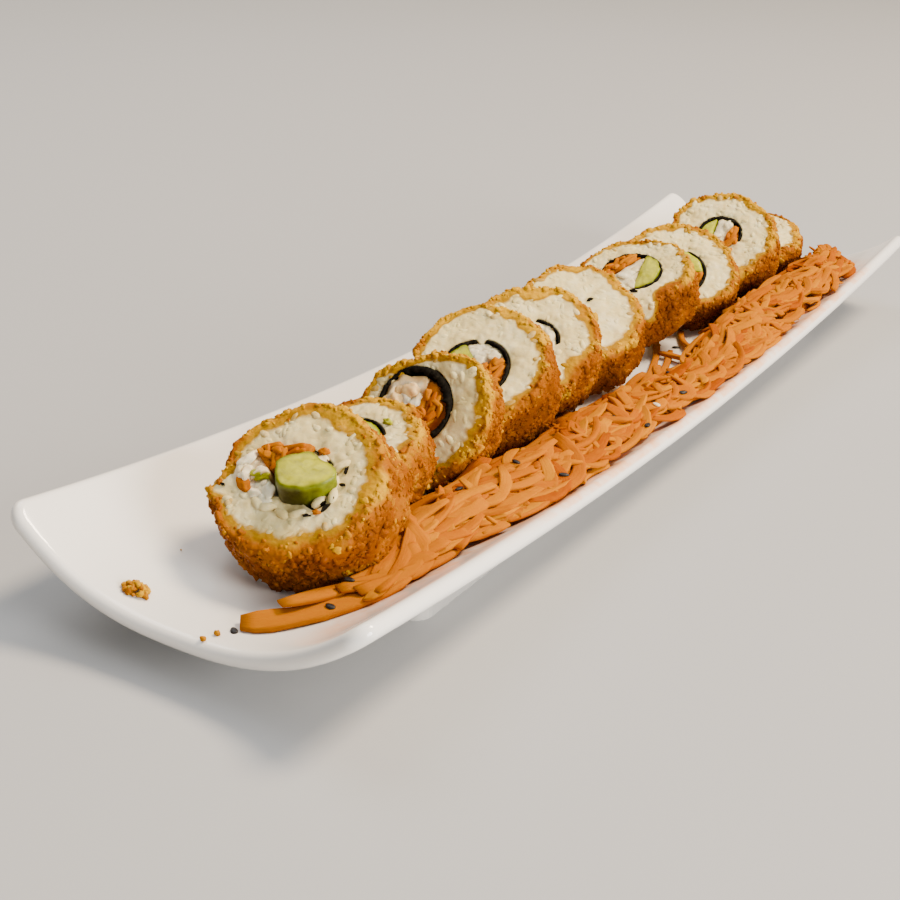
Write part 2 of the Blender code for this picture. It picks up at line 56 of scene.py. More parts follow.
# Camera: where it stands, how it is turned, and its lens
CAMERA_PLACE = (0.22708, -0.48198, 0.21761)
CAMERA_TURN = 29.543
CAMERA_DOWN = 23.468
CAMERA_ROLL = 3.305
CAMERA_LENS = 64.39
CAMERA_SENSOR = 36

# Lights, all aimed at the plate's middle: name, place, width, power and colour
LIGHTS = (("Key", (0.78, 0.92, 1.98), 0.8, 112, (1.0, 0.80, 0.58)),
          ("Top", (-0.7, 0.25, 1.2), 1.0, 10, (1, 1, 1)),
          ("Front", (0.1, -0.45, 1.8), 1.0, 5, (1, 1, 1)),
          ("Side", (1.25, -0.3, 0.4), 0.7, 31, (1.0, 0.98, 0.95)))
SKY_COLOUR = (0.97, 0.98, 1.0, 1)
SKY_STRENGTH = 0.36
FLOOR_HALF = 6

# Plate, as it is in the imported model
PLATE_WIDTH = 113 * MM
PLATE_LENGTH = 430 * MM
PLATE_THICK = 5 * MM
SIDE_RISE = 12.0 * MM
END_RISE = 3.2 * MM
CORNER_RISE = 25.2 * MM
SIDE_POWER = 2.56
END_POWER = 1.9
WAIST = 0.04
CORNER_RADIUS = 6 * MM
SPINE_HALF = 150 * MM
CORNER_STEPS = 10
END_STEPS = 30
SIDE_STEPS = 110
FLOOR_ROWS = 20
RIM_ROWS = 10
FOOT_DEPTH = 8.8 * MM
FOOT_HALF_WIDTH = 35.4 * MM
FOOT_HALF_LENGTH = 153 * MM
FOOT_CORNER = 6 * MM
FOOT_WALL = 5 * MM

# Painted reflection of the carrot on the plate's top: how far round the shreds' edge, and from
# where along it
CARROT_REFLECTION_WIDTH = 6 * MM
CARROT_REFLECTION_START = -212 * MM
CARROT_REFLECTION_FADE = 20 * MM

# Slices: steps round them and rows over each of their sides
STEPS = 288
SIDE_ROWS = 42
FACE_ROWS = 26
HOLE_ROWS = 4
BACK_ROWS = 10

# Crust: heights of its crags, knobs and grit, with the seed that keeps them the same in
# each run, and how much the side bulges and turns in at its edges
CRAG = 0.7 * MM
KNOB = 0.9 * MM
GRIT = 0.3 * MM
CRAG_SEED = 7
BARREL = 0.02
TURN_IN = 0.035
TURN_IN_FROM = 0.72

# How brown the crust is: in all, less above the middle and more below it, which is partly
# browning and partly painted light on top and painted shade below, in patches, and less by
# the front
TOAST = 0.52
TOAST_AND_LIGHT_ABOVE = 0.38
TOAST_AND_SHADE_BELOW = 0.05
TOAST_PATCHES = 0.35
TOAST_FRONT = 0.26

# Cut face: waves of the rice, height and width in mm, those at its edge with how far they
# reach in, and where crust counts as bare rice
FACE_WAVES = ((0.55, 5.5), (0.22, 1.7))
EDGE_WAVE = (0.7, 2.2, 1.6)
BARE_GOLD = -0.3

# Seaweed: gap round it, the lip of rice that closes over it where none shows, over how
# many degrees it fades, and its thickness in mm where it is thinnest
GAP = 0.3 * MM
LIP = 2.0 * MM
LIP_THICK = 1.5 * MM
FADE = 8
THIN_SEAWEED = 0.25
SEAWEED_STEPS = 200

# One entry a slice, with angles in degrees and lengths in mm. Lean of the cut face back
# from upright, turn about the vertical, radius, depth, outline and seaweed ring are
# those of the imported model. dents are hollows of the outside: angle, half width, and depth
# at the front and back. band is the width of the golden edge of the cut face. gold lists
# patches of it that are crusted, or bare rice where negative: across, up, size and
# strength. seaweed lists the stretches where it shows, from one angle to another, with its
# thickness. filling holds the fillings' middles, stand how far some of them stand out of
# the cut face, and sunk how deep all of them lie in it. slope, shift and squeeze shape the
# avocado's cut end, and closed is a stretch where the rice comes further in.
SLICES = [
    dict(lean=54.9, turn=-1.2, radius=24.8, depth=17.1, oval=(0.05, 0.0),
         lobes=(-0.01, -0.02), taper=-0.008, ring=(-2.9, -0.1, 15.4, 10.8),
         dents=((190, 20, 4.8, 1.5), (225, 22, 1.8, 2.0), (100, 24, -2.4, 0.0),
                (40, 30, -0.8, -3.0), (206, 7, -3.0, 0.0)),
         band=3.4, gold=((3.0, 20.5, 4.0, 0.7), (-21.0, -9.5, 4.5, -0.42)),
         seaweed=((-38, -12, 0.9), (0, 8, 0.6), (26, 38, 0.5), (42, 82, 0.3)),
         filling=dict(avocado=(1.8, -1.5), carrot=(-10.5, 9.5), shrimp=(-17.0, -1.0),
                      fish=(7.5, 12.5), cheese=(-9.5, -10.0)),
         stand=dict(avocado=4.6, shrimp=0.6, carrot=0.6, cheese=0.0),
         slope=(0.05, -0.30), shift=(1.9, 1.2), squeeze=0.82, closed=(268, 48, 3.4)),
    dict(lean=69.0, turn=-21.1, radius=22.8, depth=16.7, oval=(-0.03, 0.0),
         lobes=(0.0, -0.01), taper=0.024, ring=(-0.5, 0.5, 12.0, 11.4),
         band=2.6, gold=((-6.8, 20.7, 3.4, 1.0), (12.0, 17.0, 3.5, 0.5)),
         seaweed=((50, 130, 0.5),),
         filling=dict(avocado=(4.0, 5.0), fish=(-5.0, -2.0)), sunk=1.2),
    dict(lean=32.1, turn=-1.6, radius=21.8, depth=15.7, oval=(0.03, 0.04),
         lobes=(-0.05, 0.01), taper=0.106, ring=(-4.0, 2.8, 12.3, 12.0),
         band=2.3, gold=((-6.2, 19.0, 3.2, 0.7), (9.0, -15.5, 3.5, 0.3),
                         (8.5, -19.5, 4.0, -0.9), (15.5, 7.0, 3.0, 0.4)),
         seaweed=((-55, 32, 1.3), (18, 128, 2.5), (112, 205, 0.8)),
         filling=dict(shrimp=(-8.0, 3.0), carrot=(2.0, 2.0)), sunk=0.5),
    dict(lean=56.3, turn=1.9, radius=24.0, depth=20.7, oval=(-0.04, -0.04),
         lobes=(0.01, 0.03), taper=0.018, ring=(-0.7, -2.8, 11.7, 12.4),
         band=2.2, gold=((-19.1, 14.0, 2.6, 1.0), (-21.1, 7.8, 2.4, 1.0),
                         (-0.8, 22.0, 3.4, 0.7), (8.6, 19.4, 3.6, 1.0)),
         seaweed=((-25, 97, 0.8), (108, 165, 0.8)),
         filling=dict(fish=(0.5, 6.0), avocado=(-6.5, -1.5), carrot=(6.0, -2.0)),
         sunk=0.6),
    dict(lean=54.8, turn=18.6, radius=23.3, depth=18.7, oval=(-0.01, 0.0),
         lobes=(-0.01, 0.01), taper=0.045, ring=(0.6, 0.3, 8.7, 8.5),
         band=2.3, gold=((-1.8, 18.6, 4.0, 1.1), (8.0, 21.3, 2.6, 1.0),
                         (13.7, 12.0, 2.6, 0.8), (13.8, -7.0, 4.0, 0.6)),
         seaweed=((-5, 95, 0.6),),
         filling=dict(fish=(2.5, 3.0), avocado=(-3.5, -3.0)), sunk=0.6),
    dict(lean=62.1, turn=20.9, radius=23.2, depth=18.9, oval=(-0.03, -0.03),
         lobes=(0.02, -0.01), taper=0.016, ring=(-5.0, -1.5, 8.0, 8.4),
         band=2.2, gold=((12.4, 16.2, 3.0, 0.9), (-4.0, 21.0, 3.0, 0.6)),
         seaweed=((20, 42, 0.7), (150, 230, 0.5)),
         filling=dict(fish=(-2.0, 1.5), avocado=(-8.0, -4.5))),
    dict(lean=63.7, turn=-13.0, radius=23.0, depth=19.4, oval=(-0.04, 0.03),
         lobes=(-0.01, 0.04), taper=0.024, ring=(-0.3, 2.8, 12.1, 10.4),
         band=1.9, gold=((19.8, 1.3, 3.4, 0.9), (17.3, -2.9, 3.0, 0.8),
                         (16.8, -11.8, 4.2, -1.3)),
         seaweed=((-60, 95, 0.5), (84, 170, 0.9), (160, 205, 0.5)),
         filling=dict(carrot=(-8.0, 3.3), fish=(-0.8, 1.3), avocado=(6.8, 3.8))),
    dict(lean=58.0, turn=15.1, radius=23.3, depth=14.2, oval=(0.04, -0.045),
         lobes=(0.0, -0.02), taper=0.041, ring=(0.0, -3.4, 11.6, 12.0),
         band=2.0, gold=((-6.2, 18.9, 3.2, 1.0), (12.0, -8.0, 3.0, 0.5)),
         seaweed=((-45, 80, 0.8), (150, 250, 0.5)),
         filling=dict(avocado=(6.0, 3.0), carrot=(5.5, -7.0), fish=(-5.5, -2.5))),
    dict(lean=49.6, turn=4.9, radius=22.8, depth=17.8, oval=(0.0, -0.02),
         lobes=(0.02, 0.01), taper=0.032, ring=(-0.9, 1.0, 9.2, 9.0),
         band=2.0, gold=((5.9, 19.5, 3.0, 0.9), (10.9, -0.1, 2.4, 0.3)),
         seaweed=((-15, 60, 0.8), (50, 175, 1.2)),
         filling=dict(avocado=(-6.0, 1.5), fish=(-0.8, 1.5), carrot=(5.2, 0.0)),
         sunk=0.5),
    dict(lean=77.7, turn=10.4, radius=23.0, depth=16.5, oval=(0.01, 0.0),
         lobes=(0.0, 0.0), taper=0.052, ring=(0.0, -2.0, 10.0, 9.6),
         band=2.2, gold=((-12.0, 14.0, 3.0, 0.8),),
         seaweed=((20, 150, 0.6), (200, 300, 0.5)),
         filling=dict(avocado=(-5.0, -1.0), fish=(1.0, 3.5), carrot=(4.0, -5.0))),
]

# Crumbs on the crust of each slice. Their height runs past 1 for those that lie on the
# edge of the cut face, which are smaller.
LUMPS = 480
LUMP_SIZE = (1.4 * MM, 3.1 * MM)
LUMP_SUNK = 0.22
CRUMBS = 700
CRUMB_SIZE = (0.7 * MM, 1.5 * MM)
CRUMB_HEIGHTS = (-1.0, 1.14)
CRUMB_STRETCH = (0.9, 1.35)
CRUMB_FLATNESS = (0.7, 1.0)
EDGE_CRUMB = 0.75

# Rice grains on each face, with the most crust that they may lie in
GRAINS_FRONT = 330
GRAINS_BACK = 90
GRAIN_LENGTH = 5.8 * MM
GRAIN_WIDTH = 2.8 * MM
GRAIN_SIZES = (0.75, 1.05)
GRAIN_SUNK = (0.36, 0.48)
GRAIN_CRUST = 0.45

# Big loose grains on slice 1, by the avocado: across, up and turn in the cut face
LOOSE_GRAINS = ((10.6, 8.3, 60), (11.4, 2.6, 100), (10.2, -3.2, 80), (13.0, -0.5, 110),
                (6.6, -8.6, 40), (2.6, -10.0, 170), (-2.4, -9.6, 20), (-6.0, -9.4, 150))

# Small bits on the cut faces: slice, across, up, length and width in mm, and turn
AVOCADO_BITS = ((2, 2.9, 13.7, 3.4, 1.9, 10), (1, -9.8, -1.6, 5.4, 3.4, 15))
CARROT_BITS = ((1, 11.6, -6.6, 2.2, 1.3, 20), (9, 5.6, -6.0, 2.4, 1.4, 40),
               (1, -13.0, -5.2, 6.5, 3.0, -35), (1, -1.5, 9.3, 4.2, 3.8, 60),
               (1, 3.5, 10.6, 3.0, 2.4, 20))
SEAWEED_BITS = ((1, 12.6, 7.2, 2.2, 0.8, 95), (1, 14.0, 3.0, 1.6, 0.7, 20),
                (1, 13.6, -1.2, 1.8, 0.8, 120), (1, 13.2, -4.6, 3.0, 0.9, 70),
                (1, 9.6, -8.4, 2.2, 0.8, 20), (1, -18.5, -7.5, 1.2, 0.7, 10),
                (3, 8.6, -14.4, 1.3, 0.9, 30), (6, 3.2, 6.3, 2.4, 1.0, 35),
                (7, -3.2, -3.4, 1.5, 0.8, 15), (7, 8.0, -6.6, 3.2, 0.9, 15))

# Each kind of small bits, with its slot and its height in mm
BITS = dict(avocado=(AVOCADO_BITS, "avocado", 1.8), carrot=(CARROT_BITS, "carrot", 1.5),
            seaweed=(SEAWEED_BITS, "nori", 1.2))

# Moist fillings: the material's name, its light and dark parts, and its stripes
FLESH = dict(shrimp=("Shrimp", (0.88, 0.78, 0.54), (0.80, 0.60, 0.32), (0.84, 0.50, 0.16)),
             fish=("White fish", (0.74, 0.64, 0.42), (0.58, 0.47, 0.25), (0.62, 0.48, 0.24)),
             cheese=("Cream cheese", (0.88, 0.77, 0.50), (0.80, 0.68, 0.42),
                     (0.78, 0.68, 0.46)))

# Cut ends of the fillings: how rough, and how much lower they lie under their pieces
CUT_ENDS = dict(avocado=(0.30, 0), carrot=(0.35, 1.3), shrimp=(0.5, 1.2), fish=(0.35, 0.6),
                cheese=(0.6, 0.8))

# Bars of filling: points of the ring that they are cut from, steps round them, how often
# their corners are rounded, and rows over the cut end, the side and the back
RING_STEPS = 90
BAR_STEPS = 60
ROUNDINGS = 5
CROWN_ROWS = 9
BAR_ROWS = 10
END_ROWS = 3

# Pieces on the fillings: how many are tried, mean and spread of their turn in radians, and
# for each kind the range of length, width and height, the spacing and the lift in mm
SCRAP_TRIES = 900
SCRAP_TURN = (0.9, 0.8)
SCRAPS = dict(carrot=(((4.0, 8.0), (1.4, 2.2), (1.4, 2.2)), 1.5, -0.2),
              fish=(((4.5, 8.0), (3.4, 5.0), (1.8, 2.6)), 3.4, -0.5),
              shrimp=(((4.5, 7.5), (3.2, 4.6), (2.2, 3.2)), 2.6, -0.6),
              cheese=(((4.0, 7.0), (2.8, 4.2), (1.8, 2.8)), 2.4, -0.6))

# Carrot bank: a map of heights in square cells, and the bank's ground plan
MAP_START = -212 * MM
MAP_WIDTH = 56 * MM
MAP_LENGTH = 424 * MM
CELL = 0.6 * MM
HEAP_START = -176 * MM
HEAP_END = 199 * MM
HEAP_HEIGHT = 5.2 * MM
HEAP_INNER = 14 * MM
HEAP_CLOSER = 4 * MM
HEAP_RIM_GAP = 5.5 * MM
SHRED_RIM_GAP = 4.5 * MM
PILE = 4.2 * MM
BARE_DEPTH = 12 * MM
BARE_PLACE = 20 * MM
BARE_LENGTH = 36 * MM
BARE_EDGE = 24 * MM
BARE_SPREAD = 1.6
CORE_INSET = 4 * MM
CORE_STEPS = 150
CORE_COLUMNS = 14

# Shreds: how many, their sizes, mean and spread of their turn in degrees, how many mm
# their ends may rise, and how they are shared out along the bank
SHREDS = 560
SHRED_LENGTH = (18 * MM, 46 * MM)
SHRED_WIDTH = (2.0 * MM, 4.5 * MM)
SHRED_THICK = (0.9 * MM, 1.6 * MM)
SHRED_TURN = (-6, 28)
SHRED_CURLS = (0, 0, 1, 2, 3)
SHRED_PIECES = 11
SHRED_TRIES = 12
GOLDEN = 0.618034

# Single shreds, the tail of the bank first: start and end across and along the plate,
# width, and how far their middle bows
TAIL_THICK = 1.6 * MM
TAIL = ((15.5, -206.5, 43, -172, 7.6, 0.5), (22, -197, 35, -160, 5.0, 0.4),
        (21, -184, 30, -150, 4.0, 0.2), (31, -185, 43, -146, 4.6, 0.3),
        (26, -170, 36, -138, 4.2, 0.1), (29, -160, 46, -128, 4.0, 0.05),
        (20, -176, 24, -158, 3.0, 0.1), (25, 7, 6, 71, 2.6, 0.2),
        (22, -8, 13, 30, 2.8, -0.3), (27, 12, 14, 62, 2.4, 0.1),
        (26, -22, 12, 2, 3.4, 0.4), (28, 22, 15, 40, 3.0, -0.3), (27, 48, 12, 56, 2.8, 0.5),
        (12, -24, 24, 4, 2.4, 0.3), (20, 62, 6, 84, 2.2, -0.2))

# Sesame on the carrot: across and along the plate in mm; the last two are white
SEEDS = [(11.7, -205.2), (29.7, -189.6), (28.6, -179.6), (27.5, -123.3), (32.9, -100.1),
         (46.0, -94.7), (48.1, -40.3), (38.4, -45.4), (45.3, -5.3), (31.0, 16.5),
         (21.6, 0.9), (12.3, 68.1), (22.7, 66.5), (26.7, 57.8), (22.2, -101.2),
         (44.1, -24.9)]
WHITE_SEEDS = 2
SEED_LENGTH = 3.2 * MM
SEED_WIDTH = 1.9 * MM
SEED_THICK = 1.0 * MM

# Crumbs that fell on the plate: clump, single ones by its near end, and strays
CLUMP = 60
CLUMP_PLACE = (-19.4, -205.4)
CLUMP_HALF = (3.6, 2.8)
CLUMP_HEIGHT = 2.2
SINGLE_CRUMBS = [(9.5, -209, 0.1, 1.8), (8.3, -213, 0.1, 1.6), (15, -191, 0.1, 1.0)]
STRAYS = 26

# Attributes that colour the crust, the second with painted light and shade in it, and the
# cut ends of the fillings
CRUST_VALUES = ("crust", "toast_and_light")
END_VALUES = ("rim", "shade")

# Where the random draws of each kind of piece start
CRUMB_DRAWS = 100
GRAIN_DRAWS = 200
FILLING_DRAWS = 400
SCRAP_DRAWS = 600
SHRED_DRAWS = 23
SESAME_DRAWS = 5
FALLEN_DRAWS = 31


# Numbers and directions


def clamp(number):
    """The number held between 0 and 1."""
    return min(max(number, 0), 1)


def degrees_off(angle, middle):
    """How many degrees an angle lies past a middle given in degrees, -180 to 180."""
    return (math.degrees(angle) - middle + 180) % 360 - 180


def way(angle, up=0, size=1):
    """A vector that points out at an angle, with a height of its own."""
    return Vector((size * math.cos(angle), size * math.sin(angle), up))


def turned(angle, axis="Z"):
    return Matrix.Rotation(angle, 4, axis)


def any_turn(draw):
    return turned(draw.uniform(0, 2 * math.pi))


def centre_of(points):
    return sum(points, Vector((0, 0))) / len(points)


def pairs(points):
    """Each point of a closed outline with the one after it."""
    return zip(points, points[1:] + points[:1])


# Making and finishing pieces


def finish_piece(piece, material, nodes=()):
    """Give a piece its material and its body, and hide the imported nodes that it stands for.
    """
    piece.data.materials.clear()
    piece.data.materials.append(material)
    piece.data.shade_smooth()
    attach(piece, BODY)
    if nodes:
        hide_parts(*nodes)
    return piece


def link(name, data):
    piece = bpy.data.objects.new(name, data)
    bpy.context.scene.collection.objects.link(piece)
    return piece


def from_bmesh(name, bm, outward=True):
    if outward:
        bmesh.ops.recalc_face_normals(bm, faces=bm.faces)
    mesh = bpy.data.meshes.new(name)
    bm.to_mesh(mesh)
    bm.free()
    return link(name, mesh)


def apply_modifiers(piece):
    depsgraph = bpy.context.evaluated_depsgraph_get()
    mesh = bpy.data.meshes.new_from_object(piece.evaluated_get(depsgraph))
    piece.modifiers.clear()
    piece.data = mesh


def bent_grid(steps, rows, place, close_rows=True, close_steps=True, values=()):
    """A grid whose vertices go where place(u, row) says, welded where its edges meet.

    place gives a point, or a point and one value for each name in values, which become
    attributes of the mesh.
    """
    bm = bmesh.new()
    layers = [bm.verts.layers.float.new(name) for name in values]
    grid = bmesh.ops.create_grid(bm, x_segments=steps, y_segments=rows, size=1)["verts"]
    for vertex in grid:
        u = round((vertex.co.x + 1) / 2 * steps)
        v = round((vertex.co.y + 1) / 2 * rows)
        if close_steps:
            u %= steps
        if close_rows:
            v %= rows
        made = place(u / steps, v)
        if values:
            vertex.co = made[0]
            for layer, value in zip(layers, made[1:]):
                vertex[layer] = value
        else:
            vertex.co = made
    bmesh.ops.remove_doubles(bm, verts=grid, dist=1e-7)
    return bm


def template(bm):
    """Vertices and triangles of a small shape that is copied many times."""
    bmesh.ops.triangulate(bm, faces=bm.faces)
    bmesh.ops.recalc_face_normals(bm, faces=bm.faces)
    bm.verts.index_update()
    points = np.array([v.co for v in bm.verts])
    corners = np.array([[v.index for v in f.verts] for f in bm.faces])
    bm.free()
    return points, corners


def joined(name, points, corners, values, names):
    """One object from the points, triangles and values of many small shapes."""
    mesh = bpy.data.meshes.new(name)
    mesh.from_pydata(np.concatenate(points).tolist(), [], np.concatenate(corners).tolist())
    for value_name, column in zip(names, np.concatenate(values).T):
        layer = mesh.attributes.new(value_name, "FLOAT", "POINT")
        layer.data.foreach_set("value", column.astype(np.float32))
    return link(name, mesh)


def scatter(name, shapes, placed, names, material):
    """One piece of many copies: placed holds (shape number, matrix, one value a name)."""
    points, corners, values = [], [], []
    start = 0
    for number, matrix, *own in placed:
        shape, faces = shapes[number]
        points.append(shape @ np.array(matrix.to_3x3()).T + np.array(matrix.translation))
        corners.append(faces + start)
        values.append(np.tile(own, (len(shape), 1)))
        start += len(shape)
    return finish_piece(joined(name, points, corners, values, names), material)


def ball(detail):
    bm = bmesh.new()
    bmesh.ops.create_icosphere(bm, subdivisions=detail, radius=0.5)
    return bm


def knobby_ball(seed, detail, roughness, squash):
    """A small irregular lump of unit size."""
    bm = ball(detail)
    for vertex in bm.verts:
        push = noise.noise(vertex.co * 2.7 + Vector((seed * 3.1, seed, 0)))
        vertex.co *= 1 + roughness * push * 2
        vertex.co.z *= squash
    return template(bm)


def rice_grain(seed):
    """A cooked grain: a long egg with one blunter end, slightly bent."""
    bm = ball(2)
    for vertex in bm.verts:
        x, y, z = vertex.co
        slim = 1 - 0.25 * x
        bend = 0.22 * (x * x - 0.1) * math.sin(seed * 2.1)
        vertex.co = Vector((x * GRAIN_LENGTH, (y * slim + bend) * GRAIN_WIDTH,
                            z * slim * GRAIN_WIDTH * 0.9))
    return template(bm)


def tree_of(pieces):
    """A search tree over the meshes of several objects."""
    points, faces = [], []
    for piece in pieces:
        start = len(points)
        points.extend(v.co.copy() for v in piece.data.vertices)
        faces.extend([start + i for i in f.vertices] for f in piece.data.polygons)
    return BVHTree.FromPolygons(points, faces)


def top_of(tree, x, y):
    """Height of the topmost face of a tree under a point."""
    hit = tree.ray_cast(Vector((x, y, 0.3)), Vector((0, 0, -1)))
    return hit[0].z if hit[0] else 0


# Materials


class Finish:
    """A Principled material with helpers that add nodes to it."""

    # Sockets of the mix node that hold its factor, its two colours and its result
    FACTOR, FIRST, SECOND, RESULT = 0, 6, 7, 2

    def __init__(self, name, **numbers):
        self.material = bpy.data.materials.new(name)
        self.material.use_nodes = True
        self.tree = self.material.node_tree
        self.shader = self.tree.nodes["Principled BSDF"]
        spoken = {key.replace("_", " "): value for key, value in numbers.items()}
        self.feed(self.shader, spoken)

    def feed(self, node, inputs):
        """Give a node's inputs a constant each, or what another node puts out."""
        for name, value in inputs.items():
            socket = node.inputs[name]
            if isinstance(value, bpy.types.NodeSocket):
                self.tree.links.new(value, socket)
            elif socket.type == "RGBA":
                socket.default_value = (*value, 1)
            else:
                socket.default_value = value

    def node(self, kind, inputs, **settings):
        made = self.tree.nodes.new("ShaderNode" + kind)
        for name, value in settings.items():
            setattr(made, name, value)
        self.feed(made, inputs)
        return made

    def place(self):
        return self.node("TexCoord", {}).outputs["Object"]

    def value(self, name):
        return self.node("Attribute", {}, attribute_name=name).outputs["Fac"]

    def maths(self, operation, *numbers):
        return self.node("Math", dict(enumerate(numbers)), operation=operation).outputs[0]

    def grain(self, scale, detail=4.0, roughness=0.55):
        """A noise pattern with scale lumps a metre, from 0 to 1."""
        inputs = dict(Scale=scale, Detail=detail, Roughness=roughness, Vector=self.place())
        return self.node("TexNoise", inputs).outputs["Fac"]

    def fibres(self, across, along, slimness, scale):
        """Streaks that run along a piece, from the attributes that measure it."""
        wide = self.maths("MULTIPLY", self.value(across), slimness)
        both = self.node("CombineXYZ", dict(X=wide, Y=self.value(along),
                                            Z=self.value("shade")))
        inputs = dict(Scale=scale, Detail=3, Vector=both.outputs[0])
        return self.node("TexNoise", inputs).outputs["Fac"]

    def cells(self, scale):
        inputs = dict(Scale=scale, Vector=self.place())
        return self.node("TexVoronoi", inputs).outputs["Distance"]

    def ramp(self, factor, *stops):
        """Colours along a ramp: each stop is a place and a colour or a grey."""
        made = self.node("ValToRGB", dict(Fac=factor))
        elements = made.color_ramp.elements
        while len(elements) < len(stops):
            elements.new(0.5)
        for element, (position, colour) in zip(elements, stops):
            element.position = position
            if isinstance(colour, (int, float)):
                colour = (colour, colour, colour)
            element.color = (*colour, 1)
        return made.outputs["Color"]

    def mix(self, factor, first, second):
        inputs = {self.FACTOR: factor, self.FIRST: first, self.SECOND: second}
        return self.node("Mix", inputs, data_type="RGBA").outputs[self.RESULT]

    def sum(self, first, second, first_share=1.0, second_share=1.0):
        """first_share of one number plus second_share of another."""
        scaled = self.maths("MULTIPLY", first, first_share)
        return self.maths("MULTIPLY_ADD", second, second_share, scaled)

    def surface(self, colour, gloss, low, high, relief, depth, strength):
        """Colour, roughness from low to high along gloss, and relief up to a depth."""
        bump = self.node("Bump", dict(Height=relief, Distance=depth, Strength=strength))
        rough = self.ramp(gloss, (0.25, low), (0.75, high))
        self.feed(self.shader, {"Base Color": colour, "Roughness": rough,
                                "Normal": bump.outputs["Normal"]})
        return self.material


def porcelain():
    """Warm white glaze, with a painted orange reflection of the carrot where the shreds lie
    against the rim.
    """
    finish = Finish("Porcelain glaze", IOR=1.5, Coat_Weight=0.35, Coat_Roughness=0.04)
    white = finish.ramp(finish.grain(14, 3), (0.3, (0.86, 0.81, 0.74)),
                        (0.7, (0.89, 0.85, 0.78)))
    # Painted reflection of the carrot: an orange tint, in patches, where the shreds lie against
    # the rim
    patches = finish.ramp(finish.grain(160, 4, 0.6), (0.35, 0.25), (0.62, 1.0))
    spread = finish.maths("MULTIPLY", finish.value("carrot_reflection"), patches)
    colour = finish.mix(spread, white, (0.90, 0.50, 0.27))
    return finish.surface(colour, finish.grain(60, 3), 0.10, 0.17,
                          finish.grain(40, 2), 0.0004, 0.12)


def fried_rice():
    """Cream rice that turns to oily yellow and then to golden crust at the outside."""
    finish = Finish("Fried rice", Subsurface_Weight=0.15, Subsurface_Scale=0.0015,
                    Subsurface_Radius=(1.0, 0.6, 0.3), Specular_IOR_Level=0.03)
    fine = finish.grain(900, 5, 0.6)
    soft = finish.grain(260, 4, 0.6)
    broad = finish.grain(85, 2, 0.5)
    rice = finish.ramp(finish.sum(soft, broad, 0.6, 0.45), (0.30, (0.54, 0.41, 0.15)),
                       (0.50, (0.70, 0.56, 0.25)), (0.72, (0.80, 0.69, 0.40)))
    soaked = finish.ramp(fine, (0.3, (0.31, 0.135, 0.0)), (0.7, (0.41, 0.215, 0.0)))
    # The crust's brownness holds painted light and shade: paler high up and darker low down
    toast_and_light = finish.sum(finish.value("toast_and_light"), finish.sum(soft, broad, 0.5, 0.5), 0.85, 0.4)
    crust = finish.ramp(toast_and_light, (0.28, (0.53, 0.265, 0.0)), (0.44, (0.30, 0.090, 0.0)),
                        (0.62, (0.205, 0.050, 0.0)), (0.95, (0.125, 0.030, 0.0)))
    specks = finish.ramp(fine, (0.60, 0.0), (0.76, 0.15))
    crust = finish.mix(specks, crust, (0.50, 0.24, 0.0))
    edge = finish.sum(finish.value("crust"), fine, 1.0, 0.35)
    yellow = finish.mix(finish.ramp(edge, (0.20, 0.0), (0.48, 1.0)), rice, soaked)
    colour = finish.mix(finish.ramp(edge, (0.66, 0.0), (0.98, 1.0)), yellow, crust)
    granules = finish.sum(finish.cells(760), fine, 0.8, 0.5)
    kernels = finish.sum(finish.cells(340), soft, -0.8, 0.6)
    relief = finish.mix(finish.value("crust"), kernels, granules)
    return finish.surface(colour, fine, 0.24, 0.5, relief, 0.0006, 0.5)


def seaweed():
    finish = Finish("Seaweed", Specular_IOR_Level=0.04)
    fine = finish.grain(700, 5, 0.65)
    colour = finish.ramp(fine, (0.3, (0.004, 0.003, 0.002)), (0.62, (0.012, 0.009, 0.005)),
                         (0.8, (0.05, 0.04, 0.02)))
    return finish.surface(colour, fine, 0.5, 0.8, fine, 0.0006, 0.8)


def avocado():
    """Yellow-green where it is cut, greener up its sides, and a painted shade of dark
    green-brown on the sides that face down.
    """
    finish = Finish("Avocado", Subsurface_Weight=0.12, Subsurface_Scale=0.0015,
                    Subsurface_Radius=(1.0, 0.8, 0.2), Specular_IOR_Level=0.2)
    fine = finish.grain(420, 4, 0.55)
    flesh = finish.ramp(fine, (0.3, (0.30, 0.285, 0.0)), (0.55, (0.43, 0.41, 0.0)),
                        (0.8, (0.52, 0.50, 0.012)))
    green = finish.ramp(fine, (0.3, (0.10, 0.11, 0.0)), (0.7, (0.20, 0.235, 0.002)))
    skin = finish.sum(finish.value("rim"), fine, 1.0, 0.25)
    sides = finish.mix(finish.ramp(skin, (0.35, 0.0), (0.90, 1.0)), flesh, green)
    shaded_olive = finish.ramp(fine, (0.3, (0.022, 0.015, 0.0)), (0.7, (0.05, 0.042, 0.0)))
    # Painted shade: the sides that face down are mixed to a near-black green-brown
    colour = finish.mix(finish.value("under"), sides, shaded_olive)
    return finish.surface(colour, fine, 0.26, 0.42, fine, 0.0005, 0.35)


def carrot(name):
    """Moist orange, from deep orange to pale cut faces, each shred with its own shade."""
    finish = Finish(name, Subsurface_Weight=0.1, Subsurface_Scale=0.0015,
                    Subsurface_Radius=(1.0, 0.4, 0.08), Specular_IOR_Level=0.0)
    fine = finish.grain(520, 4, 0.6)
    fibres = finish.fibres("across", "along", 9, 260)
    shade = finish.sum(finish.value("shade"), finish.sum(fine, fibres, 0.5, 0.5), 0.8, 0.4)
    # The darkest stop is the painted shade of the bank's core between the shreds
    colour = finish.ramp(shade, (0.05, (0.17, 0.027, 0.0)), (0.26, (0.28, 0.054, 0.0)),
                         (0.54, (0.37, 0.098, 0.0)), (0.82, (0.42, 0.130, 0.0)),
                         (1.0, (0.47, 0.166, 0.0)))
    relief = finish.sum(fine, fibres, 0.5, 1.0)
    return finish.surface(colour, fine, 0.3, 0.5, relief, 0.0005, 0.4)


